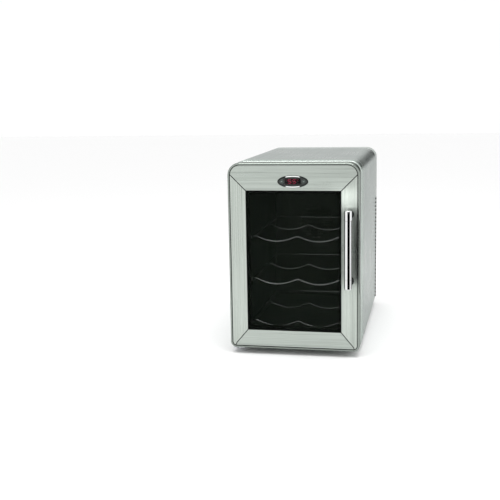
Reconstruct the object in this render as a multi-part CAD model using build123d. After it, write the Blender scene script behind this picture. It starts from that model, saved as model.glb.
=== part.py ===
from build123d import *
import math
import os

# Countertop wine cooler for six bottles. Millimetres, +Z up, the front faces -Y,
# X runs to the right seen from the front. The origin is on the floor, below the
# middle of the overall box.

# ---- overall ----
HALF_WIDTH = 127.0
TOP = 376.0
BODY_BOTTOM = 10.0
REAR = 254.0
HANDLE_FRONT = -254.0
TOP_RADIUS = 24.0
BOTTOM_RADIUS = 12.0
GAP = 0.2

# ---- cabinet shells along Y ----
RING_FRONT = -180.0
RING_BACK = -134.0
RING_WALL = 3.0
RING_EDGE_RADIUS = 2.0
WRAP_BACK = 208.0
WRAP_WALL = 1.0
WRAP_FLANGE_INNER_X = 85.0
LIP_LENGTH = 10.0
LIP_OUTSET = 1.2
LIP_WALL = 2.0
PAN_HALF_WIDTH = 112.0
PAN_THICKNESS = 1.2
REAR_PLATE_Y = 186.0
REAR_PLATE_THICKNESS = 1.2
COVER_WALL = 2.5
COVER_EDGE_RADIUS = 5.0

# ---- louvres, grille, power inlet ----
LOUVRE_COUNT = 27
LOUVRE_FIRST_Z = 26.0
LOUVRE_PITCH = 8.9
LOUVRE_HEIGHT = 3.6
LOUVRE_Y = (213.0, 245.0)
GRILLE_PITCH = 8.0
GRILLE_SLOT = 4.6
GRILLE_RADIUS = 45.0
INLET_X = -80.0
INLET_Z = 46.0
INLET_OUTER = (30.0, 22.0)
INLET_CAVITY = (25.0, 17.0)
INLET_FLANGE = (38.0, 26.0)
INLET_DEPTH = 26.0
INLET_CAVITY_DEPTH = 18.0
INLET_FLANGE_THICKNESS = 2.0
INLET_PIN = (2.0, 4.0)
INLET_PIN_PITCH = 7.0
INLET_PIN_EARTH_DROP = 4.0
INLET_PIN_TIP = 3.0

# ---- liner and insulation ----
CAVITY_HALF_WIDTH = 98.0
CAVITY_BOTTOM = 40.0
CAVITY_TOP = 338.0
CAVITY_BACK = 140.0
CAVITY_RADIUS = 10.0
LINER_WALL = 2.0
LINER_FLANGE = 3.0
FOAM_OUTSET = 3.4
LEDGE_WIDTH = 8.0
LEDGE_HEIGHT = 6.0
LEDGE_Y = (-170.0, 112.0)

# ---- wire shelves ----
SHELF_PEAKS = {"top": 227.5, "middle": 141.5, "bottom": 55.5}
WIRE_RADIUS = 1.8
RAIL_RADIUS = 2.5
RAIL_X = 93.5
RAIL_DROP = 3.8
RAIL_Y = (-170.0, 110.0)
WAVE_YS = (-167.0, -10.0)
REAR_WIRE_Y = 108.0
WAVE_POINTS = [(-96, 0), (-84, 0), (-42, -17), (0, 0), (42, -17), (84, 0), (96, 0)]
WAVE_RADII = [14, 80, 10, 80, 14]
RAIL_LIFT = 0.3

# ---- cooling stack: centre line, then Y limits ----
STACK_Z = 215.0
FAN_COVER_HALF = (65.0, 75.0)
FAN_COVER_Y = (121.0, 140.0)
FAN_COVER_WALL = 2.0
FAN_COVER_SLOT_PITCH = 7.0
FAN_COVER_SLOT = 4.2
FAN_COVER_SCREWS = (57.0, 67.0)
COLD_FAN_HALF = 40.0
COLD_FAN_Y = (123.4, 138.4)
COLD_FAN_BORE = 38.2
COLD_FAN_ROTOR = 36.8
COLD_FAN_HUB = 15.0
COLD_SINK_HALF = 40.0
COLD_SINK_Y = (140.0, 162.0, 166.0)
SINK_PITCH = 5.0
FIN_THICKNESS = 1.2
COLD_OPENING_HALF = 42.0
BLOCK_HALF = 20.0
BLOCK_Y = (166.0, 184.0)
PELTIER_Y = (184.0, 188.0)
PELTIER_CERAMIC = 0.8
HOT_SINK_HALF = (60.0, 65.0)
HOT_SINK_Y = (188.0, 193.0, 218.0)
HOT_FAN_HALF = 46.0
HOT_FAN_Y = (218.2, 243.2)
HOT_FAN_BORE = 44.3
HOT_FAN_ROTOR = 42.6
HOT_FAN_HUB = 18.0
HOT_FAN_SCREW = 41.25
CLAMP_HALF = 30.0
CLAMP_RADIUS = 2.0
CLAMP_HEAD_RADIUS = 3.6
CLAMP_HEAD = 3.0
TUNNEL_HALF = 36.0

# ---- fan details ----
FAN_BLADES = 7
FAN_PITCH_DEG = 38.0
FAN_BLADE_THICKNESS = 1.4
FAN_STRUT = 3.0
FAN_CUP_WALL = 1.6
FAN_SHAFT = 1.5
FAN_BEARING = 4.0
FAN_RUNNING_GAP = 0.05
FAN_SCREW_RADIUS = 1.7
FAN_CORNER_RADIUS = 4.0

# ---- electrics ----
BOARD_X = (-42.0, 108.0)
BOARD_Z = (40.0, 118.0)
BOARD_Y = (194.0, 195.6)
STANDOFF_RADIUS = 3.0
STANDOFF_INSET = 6.0
TRANSFORMER = (28.0, 26.0, 24.0)
TRANSFORMER_AT = (-14.0, 84.0)
CAPACITORS = [(22.0, 60.0, 8.0, 22.0), (42.0, 60.0, 8.0, 22.0), (60.0, 100.0, 5.0, 14.0)]
HEAT_TAB = (3.0, 24.0, 34.0)
HEAT_TAB_AT = (84.0, 72.0)
PLUG_BLOCK = (18.0, 9.0, 8.0)
PLUG_BLOCKS_AT = [(-28.0, 46.0), (10.0, 110.0), (40.0, 110.0)]
WIRE_THICKNESS = 1.1
LAMP_X = 30.0
LAMP_Y = (-134.0, -106.0)
LAMP_Z = (329.5, 337.8)
LAMP_WALL = 1.6
LAMP_BOARD = 1.4
SENSOR_Y = (64.0, 92.0)
SENSOR_Z = (290.0, 318.0)
SENSOR_DEPTH = 6.0

# ---- feet and base ----
FOOT_RADIUS = 11.0
FOOT_X = 100.0
FOOT_YS = (-110.0, 174.0)
FOOT_SCREW_RADIUS = 2.0
FOOT_SCREW_HEAD = 4.0
FOOT_RECESS = 4.0
FOOT_SCREW_TOP = 13.0

# ---- door ----
DOOR_FRONT = -220.0
DOOR_BACK = -183.0
DOOR_HALF_WIDTH = 126.5
DOOR_BOTTOM = 12.0
DOOR_TOP = 375.5
RIM_WALL = 3.5
RIM_BACK = -189.0
RIM_EDGE_RADIUS = 3.0
RIM_REAR_RADIUS = 1.5
FACE_RADII = (20.5, 8.5)
PANEL_FRONT = -219.2
CORE_FRONT = -218.0
CORE_PLATE = 2.5
CORE_WALL = 2.5
CORE_BACK = -200.0
CORE_GAP = 0.2
GROOVE = 1.5
WINDOW_HALF_WIDTH = 91.0
WINDOW_BOTTOM = 49.5
WINDOW_TOP = 322.0
PANEL_REVEAL = 0.8
MITRE_TOP = (123.0, 354.0)
MITRE_BOTTOM = (114.0, 22.0)
MITRE_BOTTOM_END = (118.0, 14.0)
GLASS_MARGIN = 4.0
GLASS_Y = (-215.3, -211.3)
SPACER_Y = (-211.3, -204.2)
INNER_GLASS_Y = (-204.2, -200.2)
SPACER_INSET = (0.6, 5.0)
FRAME_WINDOW_INSET = 1.0
FRAME_POCKET_Y = -191.0
GASKET_OUTER = (114.0, 25.0, 353.0)
GASKET_WIDTH = 11.0
GASKET_Y = (-188.0, -180.3)
GASKET_WALL = 1.2
MAGNET_Y = (-185.4, -182.4)
MAGNET_MARGIN = 2.4
STRIKE_Y = (-176.9, -176.1)

# ---- hinge ----
PIN_X = -119.0
PIN_Y = -205.0
PIN_RADIUS = 2.5
BUSH_BORE = 2.55
BUSH_RADIUS = 3.9
BUSH_FLANGE_RADIUS = 5.2
BUSH_SEAT = 0.05
LOWER_PLATE_Z = (7.5, 10.0)
LOWER_PLATE_X = (-124.5, -102.0)
LOWER_PLATE_BACK = -140.0
LOWER_BUSH_Z = (10.4, 11.8, 28.0)
LOWER_PIN_TOP = 27.0
LOWER_BLOCK_Z = (15.0, 34.0)
ARM_Z = (358.5, 361.5)
ARM_RADIUS = 5.5
ARM_X = (-121.0, -113.5)
TAB_X = (-112.0, -95.0)
TAB_Z = (355.5, 366.5)
TAB_Y = (-176.8, -174.8)
UPPER_BUSH_Z = (340.0, 357.2)
UPPER_BLOCK_Z = (334.0, 357.3)
BLOCK_X = (-124.0, -108.0)
BLOCK_DEPTH_Y = (-215.2, -191.4)
NOTCH_X = (-128.0, -112.5)
NOTCH_Y = (-216.0, -182.0)
NOTCH_Z = (357.5, 362.5)
HINGE_SCREW_RADIUS = 1.7
HINGE_SCREW_HEAD = 3.2
LOWER_SCREWS = [(-114.0, -168.0), (-114.0, -150.0)]
UPPER_SCREWS = [(-107.0, 364.0), (-99.5, 364.0)]

# ---- handle ----
HANDLE_X = 107.0
HANDLE_RADIUS = 7.0
HANDLE_Y = HANDLE_FRONT + HANDLE_RADIUS
HANDLE_Z = (140.5, 289.0)
HANDLE_CAP = 18.6
HANDLE_SEAM = 0.4
HANDLE_TUBE_WALL = 1.5
HANDLE_EDGE = 1.2
SPIGOT_LENGTH = 12.0
POST_ZS = (150.9, 278.9)
POST_RADIUS = 4.2
POST_START = HANDLE_Y + 4.0
COLLAR_RADIUS = 8.5
COLLAR_LENGTH = 3.0
HANDLE_SCREW_RADIUS = 2.0
HANDLE_SCREW_HEAD = 3.6
BOSS_RADIUS = 7.0
BOSS_BACK = -212.0
HANDLE_SCREW_TIP = -229.0

# ---- control panel ----
CONTROL_Z = 339.8
BEZEL_OUTER = (29.2, 11.8)
BEZEL_INNER = (28.0, 9.2)
BEZEL_FRONT = -221.0
FASCIA_Y = (-220.2, -218.4)
DISPLAY_HALF = (15.0, 5.5)
DISPLAY_Z = 340.1
DISPLAY_Y = (-220.0, -218.6)
BUTTON_X = 21.0
BUTTON_RADIUS = 4.1
BUTTON_GAP = 0.3
BUTTON_Y = (-221.2, -216.2)
BUTTON_FLANGE_RADIUS = 4.8
BUTTON_FLANGE_Y = (-217.8, -216.2)
CONTROL_BOARD_HALF = (29.0, 9.5)
CONTROL_BOARD_Y = (-213.4, -211.8)
SWITCH_RADIUS = 2.4
SWITCH_FRONT = -214.9
MODULE_HALF = (13.0, 5.2)
MODULE_FRONT = -218.0


def block(x_range, y_range, z_range):
    """Box between six limits."""
    centre = [(low + high) / 2 for low, high in (x_range, y_range, z_range)]
    size = [high - low for low, high in (x_range, y_range, z_range)]
    return Pos(*centre) * Box(*size)


def sides(half):
    return (-half, half)


def around(centre, half):
    return (centre - half, centre + half)


def outline(half_width, bottom, top, top_radius=0.0, bottom_radius=0.0):
    """Face in X and Z, symmetric about X = 0, with rounded top and bottom corners."""
    face = Pos(0, (bottom + top) / 2) * Rectangle(2 * half_width, top - bottom)
    rows = face.vertices().group_by(Axis.Y)
    if top_radius > 0:
        face = fillet(rows[-1], top_radius)
        rows = face.vertices().group_by(Axis.Y)
    if bottom_radius > 0:
        face = fillet(rows[0], bottom_radius)
    return face


def prism(face, y_range):
    """Extrude a face drawn in X and Z backwards between two Y limits."""
    plane = Plane(origin=(0, y_range[0], 0), x_dir=(1, 0, 0), z_dir=(0, -1, 0))
    return extrude(plane * face, amount=y_range[1] - y_range[0], dir=(0, 1, 0))


def rod_y(x, z, radius, y_range):
    middle = sum(y_range) / 2
    return Pos(x, middle, z) * Rot(90, 0, 0) * Cylinder(radius, y_range[1] - y_range[0])


def rod_z(x, y, radius, z_range):
    return Pos(x, y, sum(z_range) / 2) * Cylinder(radius, z_range[1] - z_range[0])


def tube_y(x, z, outer, inner, y_range):
    return rod_y(x, z, outer, y_range) - rod_y(x, z, inner, y_range)


def cabinet_outline(inset):
    return outline(
        HALF_WIDTH - inset,
        BODY_BOTTOM + inset,
        TOP - inset,
        TOP_RADIUS - inset,
        BOTTOM_RADIUS - inset,
    )


def door_outline(inset):
    """Door outline, followed inwards; the corner radii shrink with the inset."""
    return outline(
        DOOR_HALF_WIDTH - inset,
        DOOR_BOTTOM + inset,
        DOOR_TOP - inset,
        TOP_RADIUS - inset,
        BOTTOM_RADIUS - inset,
    )


def window_outline(margin, radius=0.0):
    """Window rectangle grown on every side by a margin."""
    return outline(
        WINDOW_HALF_WIDTH + margin,
        WINDOW_BOTTOM - margin,
        WINDOW_TOP + margin,
        radius,
        radius,
    )


def ring_prism(outer, inner, y_range):
    return prism(outer, y_range) - prism(inner, y_range)


def mirrored_pair(shape):
    return [shape, mirror(shape, Plane.YZ)]


def corner_points(half_x, half_z, centre_z=0.0):
    return [(sx * half_x, centre_z + sz * half_z) for sx in (-1, 1) for sz in (-1, 1)]


def slot_bars(radius, centre_z, pitch, height, y_range):
    """Horizontal slots whose ends lie on a circle."""
    bars = []
    count = int(radius // pitch)
    for step in range(-count, count + 1):
        offset = step * pitch
        reach = math.sqrt(radius**2 - (abs(offset) + height / 2) ** 2)
        bars.append(block(sides(reach), y_range, around(centre_z + offset, height / 2)))
    return bars


# ---- cabinet ----
def make_front_ring():
    body = prism(cabinet_outline(0), (RING_FRONT, RING_BACK))
    front_face = body.faces().sort_by(Axis.Y)[0]
    body = fillet(front_face.edges(), RING_EDGE_RADIUS)
    body -= prism(cabinet_outline(RING_WALL), (RING_FRONT, RING_BACK))
    lip_y = (RING_BACK - LIP_LENGTH, RING_BACK + LIP_LENGTH)
    lip = ring_prism(cabinet_outline(LIP_OUTSET), cabinet_outline(LIP_OUTSET + LIP_WALL), lip_y)
    body += lip
    for x, y in LOWER_SCREWS:
        body -= rod_z(x, y, HINGE_SCREW_RADIUS + GAP / 2, (BODY_BOTTOM, BODY_BOTTOM + FOOT_RECESS))
    return body


def foot_points():
    return [(sx * FOOT_X, y) for sx in (-1, 1) for y in FOOT_YS]


def make_outer_wrap():
    body = ring_prism(cabinet_outline(0), cabinet_outline(WRAP_WALL), (RING_BACK, WRAP_BACK))
    middle = block(
        sides(WRAP_FLANGE_INNER_X),
        (RING_BACK, REAR_PLATE_Y),
        (BODY_BOTTOM, BODY_BOTTOM + WRAP_WALL),
    )
    body -= middle
    for x, y in foot_points():
        body -= rod_z(x, y, FOOT_SCREW_RADIUS + GAP / 2, (BODY_BOTTOM, BODY_BOTTOM + WRAP_WALL))
    return body


def make_base_pan():
    z0 = BODY_BOTTOM + WRAP_WALL
    body = block(
        sides(PAN_HALF_WIDTH),
        (RING_BACK + LIP_LENGTH + GAP, REAR_PLATE_Y - GAP),
        (z0, z0 + PAN_THICKNESS),
    )
    for x, y in foot_points():
        body -= rod_z(x, y, FOOT_SCREW_RADIUS + GAP / 2, (z0, z0 + PAN_THICKNESS))
    return body


def make_feet():
    feet = []
    screws = []
    for x, y in foot_points():
        foot = rod_z(x, y, FOOT_RADIUS, (0, BODY_BOTTOM))
        foot = chamfer(foot.edges().group_by(Axis.Z)[0], 1.0)
        foot -= rod_z(x, y, FOOT_SCREW_HEAD + GAP, (0, FOOT_RECESS))
        foot -= rod_z(x, y, FOOT_SCREW_RADIUS + GAP / 2, (FOOT_RECESS, BODY_BOTTOM))
        feet.append(foot)
        head = rod_z(x, y, FOOT_SCREW_HEAD, (FOOT_RECESS - FOOT_SCREW_RADIUS, FOOT_RECESS))
        screws.append(head + rod_z(x, y, FOOT_SCREW_RADIUS, (FOOT_RECESS, FOOT_SCREW_TOP)))
    return feet, screws


def ledge_top(peak):
    return peak - RAIL_DROP - RAIL_RADIUS - RAIL_LIFT


def make_liner():
    flange_outline = cabinet_outline(RING_WALL + GAP)
    flange = prism(flange_outline, (RING_FRONT, RING_FRONT + LINER_FLANGE))
    tub = outline(
        CAVITY_HALF_WIDTH + LINER_WALL,
        CAVITY_BOTTOM - LINER_WALL,
        CAVITY_TOP + LINER_WALL,
        CAVITY_RADIUS + LINER_WALL,
        CAVITY_RADIUS + LINER_WALL,
    )
    body = flange + prism(tub, (RING_FRONT, CAVITY_BACK + LINER_WALL))
    hollow = outline(CAVITY_HALF_WIDTH, CAVITY_BOTTOM, CAVITY_TOP, CAVITY_RADIUS, CAVITY_RADIUS)
    body -= prism(hollow, (RING_FRONT, CAVITY_BACK))
    ledge_x = (CAVITY_HALF_WIDTH - LEDGE_WIDTH, CAVITY_HALF_WIDTH)
    for peak in SHELF_PEAKS.values():
        top = ledge_top(peak)
        ledge = block(ledge_x, LEDGE_Y, (top - LEDGE_HEIGHT, top))
        for part in mirrored_pair(ledge):
            body += part
    back_y = (CAVITY_BACK, CAVITY_BACK + LINER_WALL)
    half = COLD_OPENING_HALF
    body -= block(sides(half), back_y, around(STACK_Z, half))
    for x, z in corner_points(*FAN_COVER_SCREWS, STACK_Z):
        body -= rod_y(x, z, FAN_SCREW_RADIUS + GAP / 2, back_y)
    slot_x = (ARM_X[0] - GAP, ARM_X[1] + GAP)
    slot_z = (ARM_Z[0] - GAP, ARM_Z[1] + GAP)
    flange_y = (RING_FRONT, RING_FRONT + LINER_FLANGE)
    body -= block(slot_x, flange_y, slot_z)
    for x, z in UPPER_SCREWS:
        body -= rod_y(x, z, HINGE_SCREW_RADIUS + GAP / 2, flange_y)
    return body


def make_foam():
    front = STRIKE_Y[1] + GAP
    back = REAR_PLATE_Y - GAP
    body = prism(cabinet_outline(FOAM_OUTSET), (front, back))
    tub = outline(
        CAVITY_HALF_WIDTH + LINER_WALL + GAP,
        CAVITY_BOTTOM - LINER_WALL - GAP,
        CAVITY_TOP + LINER_WALL + GAP,
        CAVITY_RADIUS + LINER_WALL,
        CAVITY_RADIUS + LINER_WALL,
    )
    body -= prism(tub, (front, CAVITY_BACK + LINER_WALL + GAP))
    sink_half = COLD_OPENING_HALF
    sink_y = (CAVITY_BACK, COLD_SINK_Y[2] + GAP)
    body -= block(sides(sink_half), sink_y, around(STACK_Z, sink_half))
    body -= block(sides(TUNNEL_HALF), (CAVITY_BACK, back), around(STACK_Z, TUNNEL_HALF))
    body -= block((ARM_X[0] - 1, TAB_X[1] + 1), (front, TAB_Y[1] + 8), (TAB_Z[0] - 1, TAB_Z[1] + 1))
    for x, z in corner_points(*FAN_COVER_SCREWS, STACK_Z):
        body -= rod_y(x, z, FAN_SCREW_RADIUS + GAP, (CAVITY_BACK, CAVITY_BACK + 8))
    for x, y in foot_points():
        body -= rod_z(x, y, FOOT_SCREW_RADIUS + GAP, (BODY_BOTTOM, FOOT_SCREW_TOP + 1))
    for x, z in cover_screw_points():
        body -= rod_y(x, z, FOOT_SCREW_RADIUS + GAP, (REAR_PLATE_Y - 10, REAR_PLATE_Y))
    return body


def make_strike_strips():
    half, bottom, top = GASKET_OUTER
    width = GASKET_WIDTH
    strip_x = (half - width, half)
    right = block(strip_x, STRIKE_Y, (bottom + width, top - width))
    strips = [right]
    strips.append(block(sides(half - width), STRIKE_Y, (bottom, bottom + width)))
    strips.append(block(sides(half - width), STRIKE_Y, (top - width, top)))
    return strips


def cover_screw_points():
    return [(sx * 104.0, z) for sx in (-1, 1) for z in (134.0, 346.0)]


def make_rear_plate():
    y_range = (REAR_PLATE_Y, REAR_PLATE_Y + REAR_PLATE_THICKNESS)
    body = prism(cabinet_outline(WRAP_WALL + GAP), y_range)
    opening = BLOCK_HALF + 2
    body -= block(sides(opening), y_range, around(STACK_Z, opening))
    for x, z in corner_points(CLAMP_HALF, CLAMP_HALF, STACK_Z):
        body -= rod_y(x, z, CLAMP_RADIUS + GAP, y_range)
    for x, z in cover_screw_points():
        body -= rod_y(x, z, FOOT_SCREW_RADIUS + GAP / 2, y_range)
    for x in (BOARD_X[0] + STANDOFF_INSET, BOARD_X[1] - STANDOFF_INSET):
        for z in (BOARD_Z[0] + STANDOFF_INSET, BOARD_Z[1] - STANDOFF_INSET):
            body += rod_y(x, z, STANDOFF_RADIUS, (y_range[0], BOARD_Y[0]))
    return body


def make_rear_cover():
    body = prism(cabinet_outline(0), (WRAP_BACK, REAR))
    rear_face = body.faces().sort_by(Axis.Y)[-1]
    body = fillet(rear_face.edges(), COVER_EDGE_RADIUS)
    body -= prism(cabinet_outline(COVER_WALL), (WRAP_BACK, REAR - COVER_WALL))
    lip_y = (WRAP_BACK - LIP_LENGTH, WRAP_BACK + LIP_LENGTH)
    body += ring_prism(cabinet_outline(LIP_OUTSET), cabinet_outline(LIP_OUTSET + LIP_WALL), lip_y)
    boss_front = REAR_PLATE_Y + REAR_PLATE_THICKNESS + GAP
    head_seat = boss_front + COVER_WALL
    for x, z in cover_screw_points():
        body += rod_y(x, z, POST_RADIUS + COVER_WALL, (boss_front, REAR - COVER_WALL))
        body -= rod_y(x, z, POST_RADIUS, (head_seat, REAR))
        body -= rod_y(x, z, FOOT_SCREW_RADIUS + GAP / 2, (boss_front, head_seat))
    cuts = []
    for step in range(LOUVRE_COUNT):
        z = LOUVRE_FIRST_Z + step * LOUVRE_PITCH
        slot = block((HALF_WIDTH - 5, HALF_WIDTH + 1), LOUVRE_Y, around(z, LOUVRE_HEIGHT / 2))
        cuts += mirrored_pair(slot)
    rear_y = (REAR - COVER_WALL, REAR)
    cuts += slot_bars(GRILLE_RADIUS, STACK_Z, GRILLE_PITCH, GRILLE_SLOT, rear_y)
    half_x = INLET_OUTER[0] / 2 + GAP
    half_z = INLET_OUTER[1] / 2 + GAP
    cuts.append(block(around(INLET_X, half_x), rear_y, around(INLET_Z, half_z)))
    body -= cuts
    return body


def make_cover_screws():
    seat = REAR_PLATE_Y + REAR_PLATE_THICKNESS + GAP + COVER_WALL
    screws = []
    for x, z in cover_screw_points():
        shank = rod_y(x, z, FOOT_SCREW_RADIUS, (REAR_PLATE_Y - 8, seat))
        screws.append(shank + rod_y(x, z, POST_RADIUS - GAP, (seat, seat + 2)))
    return screws


# ---- shelves ----
def make_shelf(peak):
    outer = WIRE_RADIUS
    body = None
    for y in WAVE_YS:
        plane = Plane(origin=(0, y, peak), x_dir=(1, 0, 0), z_dir=(0, -1, 0))
        path = plane * FilletPolyline(*WAVE_POINTS, radius=WAVE_RADII)
        start = Plane(origin=path @ 0, z_dir=path % 0)
        wire = sweep(start * Circle(outer), path=path)
        body = wire if body is None else body + wire
    cross_length = 2 * WAVE_POINTS[-1][0]
    body += Pos(0, REAR_WIRE_Y, peak) * Rot(0, 90, 0) * Cylinder(outer, cross_length)
    for side in (-1, 1):
        rail = rod_y(side * RAIL_X, peak - RAIL_DROP, RAIL_RADIUS, RAIL_Y)
        body += fillet(rail.edges().filter_by(GeomType.CIRCLE), RAIL_RADIUS * 0.6)
    return body


# ---- cooling stack ----
def make_inner_fan_cover():
    half_x, half_z = FAN_COVER_HALF
    bottom, top = around(STACK_Z, half_z)
    shell = prism(outline(half_x, bottom, top, 8, 8), FAN_COVER_Y)
    front_edges = shell.faces().sort_by(Axis.Y)[0].edges()
    shell = fillet(front_edges, 1.5)
    wall = FAN_COVER_WALL
    hollow = outline(half_x - wall, bottom + wall, top - wall, 8 - wall, 8 - wall)
    shell -= prism(hollow, (FAN_COVER_Y[0] + wall, FAN_COVER_Y[1]))
    front_y = (FAN_COVER_Y[0], FAN_COVER_Y[0] + wall)
    cuts = slot_bars(COLD_FAN_BORE, STACK_Z, FAN_COVER_SLOT_PITCH, FAN_COVER_SLOT, front_y)
    for z in (bottom, top - wall):
        for x in range(-45, 46, 10):
            cuts.append(block(around(x, 2.5), (FAN_COVER_Y[0] + 5, FAN_COVER_Y[1] - 4), (z, z + wall)))
    shell -= cuts
    for x, z in corner_points(*FAN_COVER_SCREWS, STACK_Z):
        shell += rod_y(x, z, FAN_CORNER_RADIUS, (FAN_COVER_Y[0] + 1, FAN_COVER_Y[1]))
        shell -= rod_y(x, z, FAN_SCREW_RADIUS + GAP / 2, FAN_COVER_Y)
    return shell


def make_inner_cover_screws():
    screws = []
    front = FAN_COVER_Y[0]
    for x, z in corner_points(*FAN_COVER_SCREWS, STACK_Z):
        head = rod_y(x, z, HINGE_SCREW_HEAD, (front - 1.6, front))
        head = fillet(head.edges().group_by(Axis.Y)[0], 1.0)
        screws.append(head + rod_y(x, z, FAN_SCREW_RADIUS, (front, CAVITY_BACK + 6)))
    return screws


def make_fan_frame(half, bore, hub, y_range, strut_depth=2.0):
    bottom, top = around(STACK_Z, half)
    radius = FAN_CORNER_RADIUS
    body = prism(outline(half, bottom, top, radius, radius), y_range)
    body -= rod_y(0, STACK_Z, bore, y_range)
    strut_y = (y_range[1] - strut_depth, y_range[1])
    for angle in (45, 135):
        strut = block(sides(bore + 1), strut_y, around(0, FAN_STRUT / 2))
        body += Pos(0, 0, STACK_Z) * Rot(0, angle, 0) * strut
    body += rod_y(0, STACK_Z, hub, strut_y)
    bearing_y = (y_range[0] + 3.2, y_range[1] - strut_depth / 2)
    body += rod_y(0, STACK_Z, FAN_BEARING, bearing_y)
    bore_y = (bearing_y[0], y_range[1] - strut_depth / 2)
    body -= rod_y(0, STACK_Z, FAN_SHAFT + FAN_RUNNING_GAP, bore_y)
    hole = half - 4.75
    for x, z in corner_points(hole, hole, STACK_Z):
        body -= rod_y(x, z, FAN_SCREW_RADIUS + GAP / 2, y_range)
    return body


def make_fan_rotor(radius, hub, y_range, strut_depth=2.0):
    cup_y = (y_range[0] + 0.8, y_range[1] - strut_depth - 0.6)
    body = rod_y(0, STACK_Z, hub, cup_y)
    body = fillet(body.edges().group_by(Axis.Y)[0], 1.0)
    inner_y = (cup_y[0] + FAN_CUP_WALL, cup_y[1])
    body -= rod_y(0, STACK_Z, hub - FAN_CUP_WALL, inner_y)
    shaft_y = (cup_y[0] + FAN_CUP_WALL / 2, y_range[1] - strut_depth / 2 - 0.4)
    depth = cup_y[1] - cup_y[0]
    chord = depth / math.sin(math.radians(FAN_PITCH_DEG)) * 1.3
    blades = None
    for index in range(FAN_BLADES):
        blade = Rot(FAN_PITCH_DEG, 0, 0) * Box(radius - hub + 3, FAN_BLADE_THICKNESS, chord)
        blade = Pos((radius + hub) / 2 - 1, sum(cup_y) / 2, 0) * blade
        blade = Pos(0, 0, STACK_Z) * Rot(0, index * 360 / FAN_BLADES, 0) * blade
        blades = blade if blades is None else blades + blade
    sweep_zone = tube_y(0, STACK_Z, radius, hub - 0.6, cup_y)
    body += blades & sweep_zone
    body += rod_y(0, STACK_Z, FAN_SHAFT, shaft_y)
    return body


def make_cold_sink():
    fins_front, base_front, base_back = COLD_SINK_Y
    half = COLD_SINK_HALF
    body = block(sides(half), (base_front, base_back), around(STACK_Z, half))
    count = int(2 * half // SINK_PITCH)
    for index in range(count + 1):
        x = -half + FIN_THICKNESS / 2 + index * (2 * half - FIN_THICKNESS) / count
        body += block(around(x, FIN_THICKNESS / 2), (fins_front, base_back), around(STACK_Z, half))
    for x, z in corner_points(CLAMP_HALF, CLAMP_HALF, STACK_Z):
        body -= rod_y(x, z, CLAMP_RADIUS + GAP / 2, (base_front, base_back))
    return body


def make_hot_sink():
    base_front, base_back, fins_back = HOT_SINK_Y
    half_x, half_z = HOT_SINK_HALF
    body = block(sides(half_x), (base_front, base_back), around(STACK_Z, half_z))
    count = int(2 * half_x // SINK_PITCH)
    for index in range(count + 1):
        x = -half_x + FIN_THICKNESS / 2 + index * (2 * half_x - FIN_THICKNESS) / count
        body += block(around(x, FIN_THICKNESS / 2), (base_front, fins_back), around(STACK_Z, half_z))
    for x, z in corner_points(CLAMP_HALF, CLAMP_HALF, STACK_Z):
        body -= rod_y(x, z, CLAMP_RADIUS + GAP / 2, (base_front, base_back))
        body -= rod_y(x, z, CLAMP_HEAD_RADIUS + GAP, (base_back, fins_back))
    for x, z in corner_points(HOT_FAN_SCREW, HOT_FAN_SCREW, STACK_Z):
        body -= rod_y(x, z, FAN_SCREW_RADIUS + GAP / 2, (fins_back - 6, fins_back))
    return body


def make_clamp_screws():
    screws = []
    for x, z in corner_points(CLAMP_HALF, CLAMP_HALF, STACK_Z):
        shank = rod_y(x, z, CLAMP_RADIUS, (COLD_SINK_Y[1], HOT_SINK_Y[1]))
        head = rod_y(x, z, CLAMP_HEAD_RADIUS, (HOT_SINK_Y[1], HOT_SINK_Y[1] + CLAMP_HEAD))
        screws.append(shank + head)
    return screws


def make_fan_screws():
    screws = []
    for x, z in corner_points(HOT_FAN_SCREW, HOT_FAN_SCREW, STACK_Z):
        shank = rod_y(x, z, FAN_SCREW_RADIUS, (HOT_SINK_Y[2] - 5, HOT_FAN_Y[1]))
        screws.append(shank + rod_y(x, z, HINGE_SCREW_HEAD, (HOT_FAN_Y[1], HOT_FAN_Y[1] + 2)))
    return screws


def make_peltier():
    half = BLOCK_HALF
    z_range = around(STACK_Z, half)
    first, last = PELTIER_Y
    cold = block(sides(half), (first, first + PELTIER_CERAMIC), z_range)
    hot = block(sides(half), (last - PELTIER_CERAMIC, last), z_range)
    pellets = [cold, hot]
    inner_y = (first + PELTIER_CERAMIC, last - PELTIER_CERAMIC)
    pitch = 2 * half / 8
    for column in range(8):
        for row in range(8):
            x = -half + (column + 0.5) * pitch
            z = STACK_Z - half + (row + 0.5) * pitch
            pellets.append(block(around(x, 1.4), inner_y, around(z, 1.4)))
    body = pellets[0]
    for piece in pellets[1:]:
        body += piece
    return body


# ---- electrics ----
def make_power_board():
    return block(BOARD_X, BOARD_Y, BOARD_Z)


def make_power_components():
    face = BOARD_Y[1]
    width, depth, height = TRANSFORMER
    x, z = TRANSFORMER_AT
    core = block(around(x, width / 2), (face, face + depth), around(z, height / 2))
    winding = block(around(x, width / 2 - 5), (face + 3, face + depth + 3), around(z, height / 2 + 4))
    pieces = [core + winding]
    for x, z, radius, length in CAPACITORS:
        can = rod_y(x, z, radius, (face, face + length))
        pieces.append(fillet(can.edges().group_by(Axis.Y)[-1], 1.0))
    width, depth, height = HEAT_TAB
    x, z = HEAT_TAB_AT
    pieces.append(block(around(x, width / 2), (face, face + depth), around(z, height / 2)))
    width, depth, height = PLUG_BLOCK
    for x, z in PLUG_BLOCKS_AT:
        pieces.append(block(around(x, width / 2), (face, face + depth), around(z, height / 2)))
    return pieces


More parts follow.
